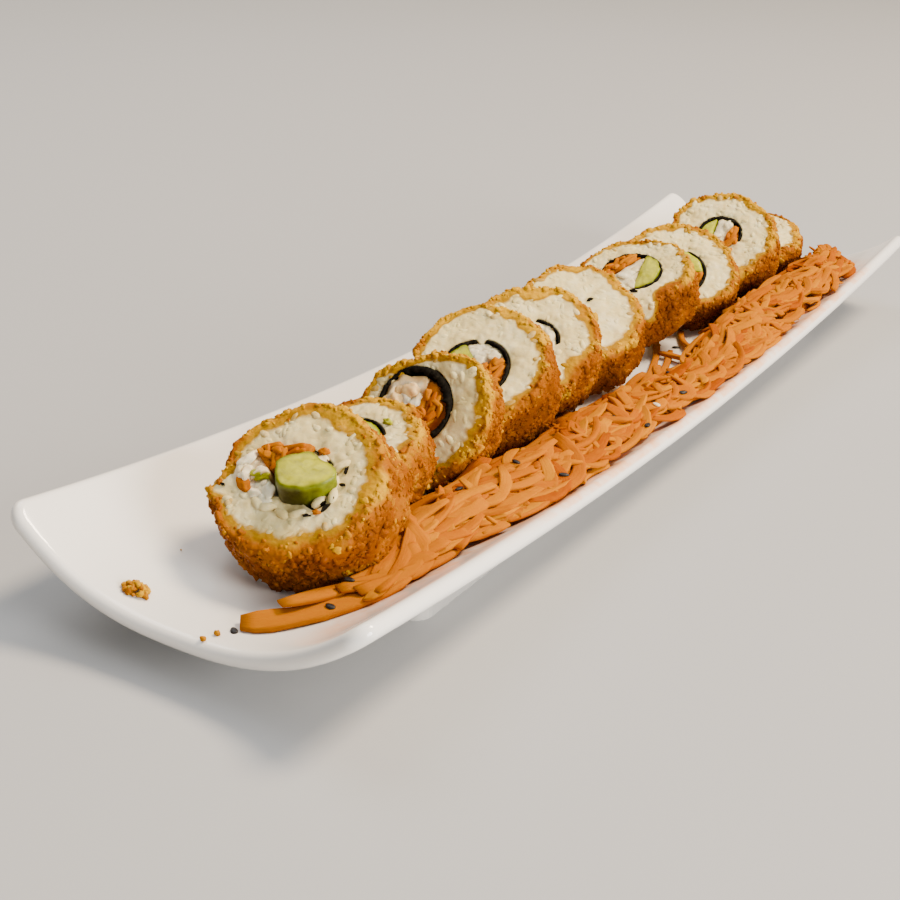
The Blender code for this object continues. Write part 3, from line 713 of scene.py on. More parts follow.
def moist_flesh(name, light, dark, stripe):
    """Moist flesh or cheese with soft fibres, and stripes of another colour."""
    finish = Finish(name, Subsurface_Weight=0.25, Subsurface_Scale=0.002,
                    Subsurface_Radius=(1.0, 0.6, 0.4), IOR=1.4)
    fine = finish.grain(380, 4, 0.6)
    plain = finish.ramp(fine, (0.3, dark), (0.65, light))
    share = finish.sum(finish.value("rim"), finish.grain(150, 3, 0.5), 0.5, 0.8)
    colour = finish.mix(finish.ramp(share, (0.48, 0.0), (0.72, 0.85)), plain, stripe)
    return finish.surface(colour, fine, 0.25, 0.42, fine, 0.0005, 0.35)


def sesame(name, dark, light):
    finish = Finish(name, Specular_IOR_Level=0.2)
    fine = finish.grain(1500, 3)
    colour = finish.ramp(fine, (0.35, dark), (0.7, light))
    return finish.surface(colour, fine, 0.3, 0.5, fine, 0.0002, 0.4)


# Plate


def plate_middle(x, y):
    """Height of the plate's middle surface."""
    side = min(abs(x) / (PLATE_WIDTH / 2), 1.1) ** SIDE_POWER
    end = min(abs(y) / (PLATE_LENGTH / 2), 1.1) ** END_POWER
    both = CORNER_RISE - SIDE_RISE - END_RISE
    return FOOT_DEPTH + SIDE_RISE * side + END_RISE * end + both * side * end


def waist(y):
    return 1 - WAIST * (1 - (y / (PLATE_LENGTH / 2)) ** 2)


def rim_stations():
    """Steps round the plate: the middle of each corner's rounding, and the way out."""
    half_x = PLATE_WIDTH / 2 - CORNER_RADIUS
    half_y = PLATE_LENGTH / 2 - CORNER_RADIUS
    corners = [Vector(spot) for spot in ((half_x, half_y), (-half_x, half_y),
                                         (-half_x, -half_y), (half_x, -half_y))]
    stations = []
    for k, corner in enumerate(corners):
        for step in range(CORNER_STEPS):
            stations.append((corner, math.pi / 2 * (k + step / CORNER_STEPS)))
        straight = SIDE_STEPS if k % 2 else END_STEPS
        for step in range(straight):
            spot = corner.lerp(corners[(k + 1) % 4], step / straight)
            stations.append((spot, math.pi / 2 * (k + 1)))
    return stations


def plate_slab():
    """The saddle-shaped dish: out over its top, round its rim and back underneath."""
    stations = rim_stations()
    count = len(stations)
    half = PLATE_THICK / 2
    step = 0.2 * MM

    def place(u, row):
        corner, angle = stations[round(u * count) % count]
        out = Vector((math.cos(angle), math.sin(angle)))
        rim = corner + out * (CORNER_RADIUS - half)
        spine = Vector((0, min(max(rim.y, -SPINE_HALF), SPINE_HALF)))
        turn = 0.0
        if row < FLOOR_ROWS:
            share, side = row / FLOOR_ROWS, 1
        elif row <= FLOOR_ROWS + RIM_ROWS:
            share, side = 1, 0
            turn = math.pi * (0.5 - (row - FLOOR_ROWS) / RIM_ROWS)
        else:
            share, side = (2 * FLOOR_ROWS + RIM_ROWS - row) / FLOOR_ROWS, -1
        flat = spine.lerp(rim, share)
        x, y = flat.x * waist(flat.y), flat.y
        slope_x = (plate_middle(x + step, y) - plate_middle(x - step, y)) / (2 * step)
        slope_y = (plate_middle(x, y + step) - plate_middle(x, y - step)) / (2 * step)
        up = Vector((-slope_x, -slope_y, 1)).normalized()
        middle = Vector((x, y, plate_middle(x, y)))
        if side:
            return middle + up * half * side
        ahead = Vector((out.x, out.y, out.x * slope_x + out.y * slope_y)).normalized()
        return middle + (up * math.sin(turn) + ahead * math.cos(turn)) * half

    bm = bent_grid(count, 2 * FLOOR_ROWS + RIM_ROWS, place, close_rows=False)
    return from_bmesh("porcelain_plate", bm)


def plate_foot():
    """A low wall with rounded corners, up to the plate's middle surface."""
    bm = bmesh.new()
    bmesh.ops.create_grid(bm, x_segments=4, y_segments=30, size=1)
    bmesh.ops.scale(bm, vec=(FOOT_HALF_WIDTH, FOOT_HALF_LENGTH, 1), verts=bm.verts)
    corners = [v for v in bm.verts if len(v.link_edges) == 2]
    bmesh.ops.bevel(bm, geom=corners, offset=FOOT_CORNER, segments=6, profile=0.5,
                    material=-1, affect="VERTICES")
    inside = list(bm.faces)
    bmesh.ops.inset_region(bm, faces=inside, thickness=FOOT_WALL, use_boundary=True,
                           use_even_offset=True)
    bmesh.ops.delete(bm, geom=inside, context="FACES")
    for vertex in bm.verts:
        vertex.co.x *= waist(vertex.co.y)
    raised = bmesh.ops.extrude_face_region(bm, geom=list(bm.faces), use_keep_orig=True)
    for vertex in raised["geom"]:
        if isinstance(vertex, bmesh.types.BMVert):
            vertex.co.z = plate_middle(vertex.co.x, vertex.co.y)
    return from_bmesh("foot", bm)


def make_plate():
    slab = plate_slab()
    foot = plate_foot()
    join = slab.modifiers.new("Foot", "BOOLEAN")
    join.operation = "UNION"
    join.solver = "EXACT"
    join.object = foot
    apply_modifiers(slab)
    bpy.data.objects.remove(foot, do_unlink=True)
    # Painted reflection: the plate's top is tinted orange just past the shreds' edge, fading in
    # from its near end
    carrot_reflection = slab.data.attributes.new("carrot_reflection", "FLOAT", "POINT")
    for index, vertex in enumerate(slab.data.vertices):
        x, y, z = vertex.co
        near = math.exp(-((x - shred_edge(y) - 1 * MM) / CARROT_REFLECTION_WIDTH) ** 2)
        top = 1 if z > plate_middle(x, y) else 0
        along = min(1, max(0, (y - CARROT_REFLECTION_START) / CARROT_REFLECTION_FADE))
        carrot_reflection.data[index].value = near * top * along
    return finish_piece(slab, porcelain(), ["plate"])


# Slices


def crust_relief(index, point):
    """Depth of the fried crust at a point of the outside: crags, knobs and crumbs."""
    spot = point / (6.5 * MM) + Vector((17.3 * index, 5.1, 2.7 * index))
    crag = CRAG * (noise.noise(spot) * 1.7 - 0.45)
    bent = point / (3.1 * MM) + noise.noise_vector(spot * 1.3) * 0.5
    knob = KNOB * (0.5 - noise.voronoi(bent + Vector((index, 0, 3)))[0][0])
    return crag + knob + GRIT * (0.5 - noise.voronoi(point / (1.4 * MM))[0][0])


class Slice:
    """One slice: its place, and the surface that its crumbs and grains lie on.

    In its own frame the cut face looks towards +Z. A height runs from -1 at its back to 1
    at its front.
    """

    def __init__(self, index, facts):
        self.index = index
        self.facts = facts
        self.half = facts["depth"] * MM / 2
        self.place = self.matrix()

    def matrix(self):
        """From the slice's own frame to the plate's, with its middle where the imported
        model's seaweed ring puts it.
        """
        turn = turned(math.radians(self.facts["turn"]))
        lean = turned(math.radians(90 - self.facts["lean"]), "X")
        low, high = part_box(f"slice_{self.index}_nori")
        x, y = self.facts["ring"][:2]
        middle = (low + high) / 2 - (turn @ lean) @ Vector((x * MM, y * MM, 0))
        return Matrix.Translation(middle) @ turn @ lean

    def outline(self, angle, height):
        """Radius of the outside, before its crust, at an angle in the cut face."""
        facts = self.facts
        oval, lobes = facts["oval"], facts["lobes"]
        wave = oval[0] * math.cos(2 * angle) + oval[1] * math.sin(2 * angle)
        wave += lobes[0] * math.cos(3 * angle) + lobes[1] * math.sin(3 * angle)
        radius = facts["radius"] * (1 + wave) * (1 - facts["taper"] * (1 - height) / 2)
        for middle, half_width, front, back in facts.get("dents", ()):
            depth = (front + back) / 2 + (front - back) / 2 * height
            radius -= depth * math.exp(-(degrees_off(angle, middle) / half_width) ** 2)
        return radius * MM

    def ring(self, angle, inset):
        """A point of the seaweed ring's outside, moved in by inset."""
        x, y, half_x, half_y = (value * MM for value in self.facts["ring"])
        return Vector((x + (half_x - inset) * math.cos(angle),
                       y + (half_y - inset) * math.sin(angle)))

    def side(self, angle, height):
        """A point of the crusted outside."""
        bulge = BARREL * (1 - height * height)
        turn_in = TURN_IN * max(0, (abs(height) - TURN_IN_FROM) / 0.28) ** 2
        around = way(angle)
        edge = self.outline(angle, height) * (1 + bulge - turn_in)
        point = around * edge + Vector((0, 0, height * self.half))
        return point + around * crust_relief(self.index, point)

    def toast_and_light(self, point):
        """How brown the crust is: more low down, which is partly browning and partly painted
        shade with painted light on top, more in patches, and less by the front.
        """
        patch = noise.noise(point / (8 * MM) + Vector((self.index * 4.4, 0, 1)))
        up = (self.place.to_3x3() @ Vector((point.x, point.y, 0))).z / (24 * MM)
        by_front = max(0, point.z / self.half - 0.45) / 0.55
        # Paler high up is partly painted light, and darker low down is partly painted shade
        toast_and_light_by_height = (TOAST_AND_LIGHT_ABOVE if up > 0 else TOAST_AND_SHADE_BELOW) * up
        return clamp(TOAST - toast_and_light_by_height + TOAST_PATCHES * patch - TOAST_FRONT * by_front)

    def band(self, angle, front):
        """Width of the golden band round a cut face."""
        spot = way(angle, self.index + (0 if front else 9))
        wide = self.facts["band"] * (1 + 0.5 * noise.noise(spot * 1.6))
        wide += 0.9 * noise.noise(spot * 7)
        low = 1.1 * max(0, math.cos(angle + math.radians(50)))
        return max(0.7, wide + low) * MM

    def seaweed_at(self, angle):
        """Thickness of the seaweed at an angle, and how much of it shows, 0 to 1."""
        thick, share = THIN_SEAWEED, 0.0
        for start, end, wide in self.facts["seaweed"]:
            off = abs(degrees_off(angle, (start + end) / 2))
            inside = clamp(((end - start) / 2 - off) / FADE + 0.5)
            share = max(share, inside)
            thick = max(thick, wide * inside)
        return thick * MM, share

    def lip(self, angle, front):
        """Edge of the rice at the ring: it closes over the seaweed where none shows."""
        share = self.seaweed_at(angle)[1] if front else 1
        wave = 0.6 * MM * noise.noise(way(angle, self.index) * 4)
        middle, half_width, more = self.facts.get("closed", (0, 1, 0))
        more *= math.exp(-(degrees_off(angle, middle) / half_width) ** 4) * MM
        return self.ring(angle, -GAP + (LIP + more + wave) * (1 - share))

    def gold(self, x, y):
        """Crust that fell on the cut face, or rice that broke through its edge."""
        total = 0.0
        for across, up, size, strength in self.facts["gold"]:
            far = math.hypot(x - across * MM, y - up * MM) / (size * MM)
            total += strength * math.exp(-far * far)
        return total

    def face(self, angle, t, front):
        """A point of a cut face, from its edge at t = 0 to the seaweed at t = 1."""
        height = 1 if front else -1
        rim = self.side(angle, height).xy
        flat = rim.lerp(self.lip(angle, front), t)
        spot = Vector((flat.x, flat.y, self.index * 0.05 * height))
        away = (rim - flat).length
        swell = sum(high * MM * noise.noise(spot / (wide * MM)) for high, wide in FACE_WAVES)
        high, wide, reach = EDGE_WAVE
        near = math.exp(-(away / (reach * MM)) ** 2)
        swell += high * MM * near * noise.noise(spot / (wide * MM))
        swell -= 0.35 * MM * math.exp(-((1 - t) * 7) ** 2)
        raised = swell * min(1, away / (0.8 * MM))
        crust = 1.05 - 0.7 * away / self.band(angle, front)
        if front:
            crust += self.gold(flat.x, flat.y)
        point = Vector((flat.x, flat.y, (self.half + raised) * height))
        return point, clamp(crust)

    def body_point(self, u, row):
        """Rows: up the outside, in over the front, back through the hole, out again."""
        angle = 2 * math.pi * u
        if row < SIDE_ROWS:
            height = -1 + 2 * row / (SIDE_ROWS - 1)
            point = self.side(angle, height)
            bare = self.gold(point.x, point.y) if height > 0 else 0
            return point, clamp(1 + min(bare, 0) * 1.6 * height)
        row -= SIDE_ROWS
        if row < FACE_ROWS:
            return self.face(angle, (row + 1) / FACE_ROWS, True)
        row -= FACE_ROWS
        if row < HOLE_ROWS:
            flat = self.ring(angle, -GAP) if row else self.lip(angle, True)
            level = (self.half - 0.6 * LIP_THICK, self.half - LIP_THICK, 0,
                     -self.half * 0.9)[row]
            return Vector((flat.x, flat.y, level)), 0.0
        row -= HOLE_ROWS
        return self.face(angle, 1 - row / BACK_ROWS, False)

    def body(self, material):
        def place(u, row):
            point, crust = self.body_point(u, row)
            return self.place @ point, crust, self.toast_and_light(point)

        rows = SIDE_ROWS + FACE_ROWS + HOLE_ROWS + BACK_ROWS
        bm = bent_grid(STEPS, rows, place, values=CRUST_VALUES)
        piece = from_bmesh(f"fried_rice_{self.index}", bm)
        return finish_piece(piece, material, [f"slice_{self.index}_rice"])

    def crumbs(self, shapes, material):
        """Fried crumbs all over the outside and on the edges of the cut faces."""
        draw = random.Random(CRUMB_DRAWS + self.index)
        placed = []
        for k in range(LUMPS + CRUMBS):
            angle = draw.uniform(0, 2 * math.pi)
            height = draw.uniform(*CRUMB_HEIGHTS)
            lump = k < LUMPS
            size = draw.uniform(*(LUMP_SIZE if lump else CRUMB_SIZE))
            if height <= 1:
                point = self.side(angle, height)
                if self.gold(point.x, point.y) * height < BARE_GOLD:
                    continue
                out = way(angle, 0.9 * height ** 7)
            else:
                away = draw.random() ** 1.5 * self.band(angle, True) * 0.8
                wide = (self.side(angle, 1).xy - self.lip(angle, True)).length
                point, crust = self.face(angle, min(away / wide, 1), True)
                if crust < 0.5:
                    continue
                out = way(angle, 1, 0.3)
                size *= EDGE_CRUMB
            out.normalize()
            spin = any_turn(draw)
            tilt = turned(draw.gauss(0, 0.3), "X")
            face_out = out.to_track_quat("Z", "Y").to_matrix().to_4x4()
            stretch = Matrix.Diagonal((size * draw.uniform(*CRUMB_STRETCH), size,
                                       size * draw.uniform(*CRUMB_FLATNESS), 1))
            sunk = Matrix.Translation(point - out * size * (LUMP_SUNK if lump else 0.0))
            toast_and_light = self.toast_and_light(point) + draw.gauss(-0.02, 0.07)
            placed.append((draw.randrange(3) + (3 if lump else 0),
                           self.place @ sunk @ face_out @ tilt @ spin @ stretch, 1.0, toast_and_light))
        scatter(f"crumbs_{self.index}", shapes, placed, CRUST_VALUES, material)

    def grains(self, shapes, material):
        """Rice grains sunk in both cut faces, and loose ones by slice 1's avocado."""
        draw = random.Random(GRAIN_DRAWS + self.index)
        placed = []
        for k in range(GRAINS_FRONT + GRAINS_BACK):
            front = k < GRAINS_FRONT
            angle = draw.uniform(0, 2 * math.pi)
            t = 1 - math.sqrt(draw.random()) * 0.95
            point, crust = self.face(angle, t, front)
            if crust > GRAIN_CRUST:
                continue
            sink = GRAIN_WIDTH * draw.uniform(*GRAIN_SUNK)
            sunk = Matrix.Translation(point - Vector((0, 0, sink if front else -sink)))
            spin = any_turn(draw)
            tilt = turned(draw.gauss(0, 0.2), "Y")
            size = Matrix.Scale(draw.uniform(*GRAIN_SIZES), 4)
            placed.append((draw.randrange(len(shapes)),
                           self.place @ sunk @ spin @ tilt @ size, crust * 0.8, 0.3))
        for across, up, turn in LOOSE_GRAINS if self.index == 1 else ():
            spot = Matrix.Translation((across * MM, up * MM, self.half - 0.1 * MM))
            matrix = self.place @ spot @ turned(math.radians(turn)) @ Matrix.Scale(0.95, 4)
            placed.append((0, matrix, 0.0, 0.3))
        scatter(f"rice_grains_{self.index}", shapes, placed, CRUST_VALUES, material)

    def seaweed(self, material):
        """A ragged sheet round the fillings: thick where it shows, sunk where rice hides it."""
        def place(u, row):
            angle = 2 * math.pi * u
            thick, share = self.seaweed_at(angle)
            spot = way(angle, self.index * 2.3, 3)
            wave = 0.45 * MM * noise.noise(spot) + 0.35 * MM * noise.noise(spot * 5)
            ragged = noise.noise(spot * 6) * 0.4 + noise.noise(spot * 1.5) * 0.3
            thick *= 1 + 0.7 * noise.noise(spot * 0.8) + 0.5 * noise.noise(spot * 3.2)
            inset = wave * 0.4 + (thick if row in (4, 5, 6, 7) else 0.05 * MM)
            hidden = (LIP_THICK + 0.3 * MM) * (1 - share)
            if row in (2, 5):
                level = self.half - 0.5 * MM - hidden
            elif row in (3, 4):
                level = self.half + (0.1 + ragged) * MM * share - hidden
            elif row in (1, 6):
                level = -self.half + 0.4 * MM
            else:
                level = -self.half - 0.1 * MM * ragged
            point = self.ring(angle, inset)
            return self.place @ Vector((point.x, point.y, level))

        made = from_bmesh(f"seaweed_{self.index}", bent_grid(SEAWEED_STEPS, 8, place))
        finish_piece(made, material, [f"slice_{self.index}_nori"])

    def stand(self, name):
        """How far a filling's cut end stands out of the cut face, in mm."""
        return self.facts.get("stand", {}).get(name, 0.2) - self.facts.get("sunk", 0)


# Fillings


def cut_by_line(points, middle, normal):
    """Keep the part of a convex outline behind a line."""
    kept = []
    for first, second in pairs(points):
        a = (first - middle).dot(normal)
        b = (second - middle).dot(normal)
        if a <= 0:
            kept.append(first)
        if (a < 0) != (b < 0) and a != b:
            kept.append(first.lerp(second, a / (a - b)))
    return kept


def filling_outline(cut, name):
    """The filling's share of the inside of the ring, up to halfway to the next."""
    points = []
    for step in range(RING_STEPS):
        angle = 2 * math.pi * step / RING_STEPS
        inset = max(0.7 * MM, cut.seaweed_at(angle)[0] + 0.3 * MM)
        points.append(cut.ring(angle, inset))
    own = Vector(cut.facts["filling"][name]) * MM
    for other, spot in cut.facts["filling"].items():
        if other != name:
            away = Vector(spot) * MM - own
            middle = own + away / 2 - away.normalized() * 0.1 * MM
            points = cut_by_line(points, middle, away)
    return points


def even_outline(points, count, rounds):
    """An outline as evenly spaced points, with its corners rounded off."""
    lengths = [(b - a).length for a, b in pairs(points)]
    total = sum(lengths)
    even = []
    k, walked = 0, 0.0
    for step in range(count):
        target = total * step / count
        while walked + lengths[k] < target:
            walked += lengths[k]
            k += 1
        share = (target - walked) / lengths[k]
        even.append(points[k].lerp(points[(k + 1) % len(points)], share))
    for again in range(rounds):
        even = [(even[i - 1] + even[i] * 2 + even[(i + 1) % count]) / 4
                for i in range(count)]
    return even


def bar(cut, points, stand, slope, shift, roughness):
    """A bar through the slice, whose cut end stands out, slopes and is uneven."""
    count = len(points)
    last = CROWN_ROWS + BAR_ROWS
    middle = centre_of(points)
    seed = Vector((cut.index * 7.7, stand / MM, 0))

    def place(u, row):
        point = points[round(u * count) % count]
        tilt = (point - middle).dot(slope)
        top = cut.half + stand
        under = 0.0
        if row <= CROWN_ROWS:
            t = row / CROWN_ROWS
            flat = middle.lerp(point, t) + shift
            level = top + tilt * t + 0.7 * MM * (1 - t ** 3)
            rim = 0.8 * t ** 6
        elif row < last:
            down = (row - CROWN_ROWS) / BAR_ROWS
            flat = middle.lerp(point, 1 + 0.04 * math.sin(math.pi * down))
            flat = flat + shift * max(0, 1 - 3 * down)
            level = (top + tilt) * (1 - down) - cut.half * down
            rim = 1.0
            # under is a painted shade, used by the avocado: it grows on the sides that face
            # down
            under = max(0, -(point - middle).normalized().y - 0.15)
        else:
            t = (last + END_ROWS - row) / END_ROWS
            flat = middle.lerp(point, t)
            level = -cut.half - 0.2 * MM * (1 - t)
            rim = 0.5
        spot = Vector((flat.x, flat.y, level)) / (2.6 * MM) + seed
        bumps = noise.noise(spot) + 0.5 * noise.noise(spot * 2.7)
        if row < last:
            level += roughness * MM * bumps * (1 if row <= CROWN_ROWS else 0.3)
            flat = flat + (flat - middle) * 0.04 * bumps
        point = cut.place @ Vector((flat.x, flat.y, level))
        return point, rim, 0.5 + 0.12 * bumps, min(under * 1.2, 1)

    return bent_grid(count, last + END_ROWS, place, close_rows=False,
                     values=(*END_VALUES, "under"))


def inside(points, spot, margin):
    """Whether a spot lies within a convex outline, by more than a margin."""
    for first, second in pairs(points):
        along = (second - first).normalized()
        across = spot - first
        if along.x * across.y - along.y * across.x < margin:
            return False
    return True


def block_shape(seed):
    """A rounded block of unit size with uneven sides."""
    bm = ball(3)
    for vertex in bm.verts:
        for axis in range(3):
            value = vertex.co[axis]
            vertex.co[axis] = math.copysign(abs(value * 2) ** 0.65 / 2, value)
        push = noise.noise(vertex.co * 2.2 + Vector((seed * 3.7, 0, seed)))
        vertex.co *= 1 + 0.3 * push
    return template(bm)


def make_filling(cut, name, material, roughness, lower):
    """A filling: a bar that runs through the slice, with its uneven cut end."""
    draw = random.Random(FILLING_DRAWS + cut.index * 10 + len(name))
    points = even_outline(filling_outline(cut, name), BAR_STEPS, ROUNDINGS)
    middle = centre_of(points)
    uneven = []
    for point in points:
        spot = Vector((point.x, point.y, cut.index * 9 * MM)) / (3.2 * MM)
        uneven.append(point + (point - middle).normalized() * 0.5 * MM * noise.noise(spot))
    stand = (cut.stand(name) - lower) * MM
    slope = Vector((draw.uniform(-0.08, 0.08), draw.uniform(-0.02, 0.12)))
    shift = Vector((0, 0))
    if "slope" in cut.facts and name == "avocado":
        top = max(point.y for point in uneven)
        for point in uneven:
            point.y = top + (point.y - top) * cut.facts["squeeze"]
        slope = Vector(cut.facts["slope"])
        shift = Vector(cut.facts["shift"]) * MM
    made = from_bmesh(f"{name}_{cut.index}", bar(cut, uneven, stand, slope, shift, roughness))
    finish_piece(made, material, [f"slice_{cut.index}_{name}"])


def make_scraps(cut, name, material, shapes, sizes, spacing, lift):
    """Strips or lumps that lie this way and that on the cut end of a filling."""
    draw = random.Random(SCRAP_DRAWS + cut.index * 10 + len(name))
    points = filling_outline(cut, name)
    middle = centre_of(points)
    reach = max((point - middle).length for point in points)
    spots, placed = [], []
    for attempt in range(SCRAP_TRIES):
        spot = middle + Vector((draw.uniform(-reach, reach), draw.uniform(-reach, reach)))
        if any((spot - other).length < spacing * MM for other in spots):
            continue
        long, wide, tall = (draw.uniform(*size) * MM for size in sizes)
        turn = draw.gauss(*SCRAP_TURN)
        ahead = way(turn).xy * long * 0.38
        if not all(inside(points, end, 0.2 * MM) for end in (spot + ahead, spot - ahead)):
            continue
        spots.append(spot)
        level = cut.half + cut.stand(name) * MM + (lift + draw.uniform(-0.6, 0.6)) * MM
        spin = turned(turn) @ turned(draw.gauss(0, 0.3), "Y")
        size = Matrix.Diagonal((long, wide, tall, 1))
        matrix = cut.place @ Matrix.Translation((spot.x, spot.y, level)) @ spin @ size
        placed.append((draw.randrange(len(shapes)), matrix, draw.uniform(0, 0.9),
                       draw.uniform(0.25, 0.9)))
    if placed:
        scatter(f"{name}_pieces_{cut.index}", shapes, placed, END_VALUES, material)


def make_bits(name, cuts, shapes, material):
    """Scraps on the cut faces: each a small lump, half sunk."""
    bits, slot, tall = BITS[name]
    placed = []
    for number, (index, across, up, long, wide, turn) in enumerate(bits):
        cut = cuts[index - 1]
        spot = Matrix.Translation((across * MM, up * MM, cut.half + 0.35 * MM))
        size = Matrix.Diagonal((long * MM, wide * MM, tall * MM, 1))
        matrix = cut.place @ spot @ turned(math.radians(turn)) @ size
        placed.append((number % len(shapes), matrix, 0.4, 0.6))
    scatter(f"{name}_bits", shapes, placed, END_VALUES, material)


# Carrot bank


def along_bank(y):
    """Where a place along the plate lies on the bank: 0 at its start, 1 at its end."""
    return (y - HEAP_START) / (HEAP_END - HEAP_START)


def bareness(y):
    """1 at the middle of the bank's bare part, and less to both sides."""
    return math.exp(-((y - BARE_PLACE) / BARE_LENGTH) ** 2)


def outer_edge(y, rim_gap, start):
    """An edge inside the rim, drawn in at the start and by the bank's far end."""
    rim = PLATE_WIDTH / 2 * waist(y) - rim_gap
    far = 1 - 0.4 * max(0, (along_bank(y) - 0.86) / 0.14) ** 2
    return rim * min(1, start) * far


def heap_sides(y):
    """Inner and outer edge of the bank's packed middle at a place along the plate."""
    s = along_bank(y)
    inner = HEAP_INNER - HEAP_CLOSER * s + BARE_DEPTH * bareness(y)
    return inner, outer_edge(y, HEAP_RIM_GAP, 0.5 + 0.85 * math.sqrt(max(s, 0)))


def shred_edge(y):
    """How far towards the rim the shreds reach at a place along the plate."""
    return outer_edge(y, SHRED_RIM_GAP, 0.74 + 1.25 * max(along_bank(y), 0))


class Bank:
    """A map of heights over the plate's right side that shreds are laid on in turn."""

    def __init__(self, plate_tree, slice_tree):
        self.columns = int(MAP_WIDTH / CELL)
        self.rows = int(MAP_LENGTH / CELL)
        self.height = np.zeros((self.columns, self.rows))
        self.roof = np.ones((self.columns, self.rows))
        self.limit = np.ones((self.columns, self.rows))
        for i in range(0, self.columns, 2):
            for j in range(0, self.rows, 2):
                x, y = i * CELL, MAP_START + j * CELL
                floor = top_of(plate_tree, x, y)
                hit = slice_tree.ray_cast(Vector((x, y, floor - MM)), Vector((0, 0, 1)))
                self.height[i:i + 2, j:j + 2] = floor
                self.roof[i:i + 2, j:j + 2] = hit[0].z if hit[0] else 1

    def near(self, x, y, reach):
        """The cells within reach of a point."""
        i = min(max(round(x / CELL), 0), self.columns - 1)
        j = min(max(round((y - MAP_START) / CELL), 0), self.rows - 1)
        n = max(1, round(reach / CELL))
        return slice(max(i - n, 0), i + n + 1), slice(max(j - n, 0), j + n + 1)

    def under(self, x, y, reach):
        """Highest point and lowest roof within reach of a point."""
        near = self.near(x, y, reach)
        return self.height[near].max(), self.roof[near].min()

    def raise_to(self, x, y, reach, z):
        near = self.near(x, y, reach)
        raised = np.minimum(z, self.limit[near])
        self.height[near] = np.maximum(self.height[near], raised)

    def set_limit(self):
        """Let shreds pile up on what lies there, most in the middle of the bank."""
        for j in range(self.rows):
            y = MAP_START + j * CELL
            inner = heap_sides(y)[0]
            share = (CELL * np.arange(self.columns) - inner) / (shred_edge(y) - inner)
            hump = np.sin(math.pi * np.clip(share, 0, 1) ** 1.3)
            pile = PILE * (1 - 0.45 * bareness(y)) * (0.35 + 0.65 * hump)
            self.limit[:, j] = self.height[:, j] + pile


def make_heap_core(plate_tree, bank, material):
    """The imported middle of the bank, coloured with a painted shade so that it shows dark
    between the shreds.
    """
    loop = CORE_COLUMNS * 2

    def ends(u, near, far, power):
        """1 along the bank, and less within near of its start and far of its end."""
        return min(1, u / near, (1 - u) / far) ** power if 0 < u < 1 else 0

    def place(u, row):
        y = HEAP_START + (HEAP_END - HEAP_START) * u
        inner, outer = heap_sides(y)
        half = ((outer - inner) / 2 - CORE_INSET) * ends(u, 0.05, 0.06, 0.5)
        below = row > CORE_COLUMNS
        t = (loop - row if below else row) / CORE_COLUMNS
        x = (inner + outer) / 2 + half * (2 * t - 1)
        floor = top_of(plate_tree, x, y) + 0.3 * MM
        lift = 0.0
        if not below and 0 < row < CORE_COLUMNS:
            bumps = 1 + 0.5 * noise.noise(Vector((x, y, 0)) / (11 * MM))
            bumps += 0.35 * noise.noise(Vector((x, y, 0)) / (3 * MM))
            low = 1 - 0.6 * bareness(y)
            hump = math.sin(math.pi * t ** 1.4) ** 0.8
            lift = HEAP_HEIGHT * low * ends(u, 0.12, 0.06, 0.7) * hump * bumps
            roof = bank.under(x, y, 3 * MM)[1]
            lift = max(min(lift, roof - floor - 1 * MM), 0.1 * MM)
        # 0.12 is a painted shade: the core is coloured darker than the shreds, for the shade in
        #                          the gaps between them
        return Vector((x, y, floor + lift)), 0.12

    bm = bent_grid(CORE_STEPS, loop, place, close_steps=False, values=("shade",))
    core = from_bmesh("carrot_bank", bm)
    for vertex in core.data.vertices:
        bank.raise_to(vertex.co.x, vertex.co.y, 1.5 * MM, vertex.co.z)
    bank.set_limit()
    return finish_piece(core, material, ["carrot_shreds"])


def in_bare_part(spot):
    """Whether a spot lies where the photo shows the plate between slices and carrot."""
    along = abs(spot.y - BARE_PLACE) / (BARE_LENGTH * BARE_SPREAD)
    return along < 1 and spot.x < BARE_EDGE * math.sqrt(1 - along ** 4)


def shred_path(bank, start, heading, length, bend, width, thick, curl=0):
    """A path laid over the bank, or nothing where a slice is in its way."""
    path = []
    for k in range(SHRED_PIECES + 1):
        s = k / SHRED_PIECES - 0.5
        angle = heading + bend * s
        x = start[0] + length * s * math.cos(angle)
        y = start[1] + length * s * math.sin(angle)
        low, roof = bank.under(x, y, width * 0.4)
        if x < 2 * MM or roof < low + thick + 0.3 * MM:
            return None
        path.append([x, y, low + thick * 0.5])
    lowest = np.array([p[2] for p in path])
    heights = lowest.copy()
    for again in range(10):
        heights[1:-1] = (heights[:-2] + heights[1:-1] + heights[2:]) / 3
    heights += np.maximum(lowest - heights, 0).max() * 0.45
    heights += curl * np.linspace(0, 1, len(path)) ** 3
    return [Vector((p[0], p[1], z)) for p, z in zip(path, heights)]


def strip_template():
    """A strip of unit length along X with a flattened eight-sided section."""
    bm = bmesh.new()
    bmesh.ops.create_cone(bm, cap_ends=True, segments=8, radius1=0.54, radius2=0.54,
                          depth=1)
    for turn, axis in ((math.pi / 8, "Z"), (math.pi / 2, "Y")):
        bmesh.ops.rotate(bm, verts=bm.verts, matrix=Matrix.Rotation(turn, 3, axis))
    for vertex in bm.verts:
        for axis in (1, 2):
            reach = min(abs(vertex.co[axis]) * 2, 1)
            vertex.co[axis] = math.copysign(reach ** 0.4 / 2, vertex.co[axis])
    for k in range(1, SHRED_PIECES):
        geometry = list(bm.verts) + list(bm.edges) + list(bm.faces)
        bmesh.ops.bisect_plane(bm, geom=geometry, plane_co=(k / SHRED_PIECES - 0.5, 0, 0),
                               plane_no=(1, 0, 0))
    return template(bm)


def unit(rows):
    return rows / np.linalg.norm(rows, axis=1)[:, None]


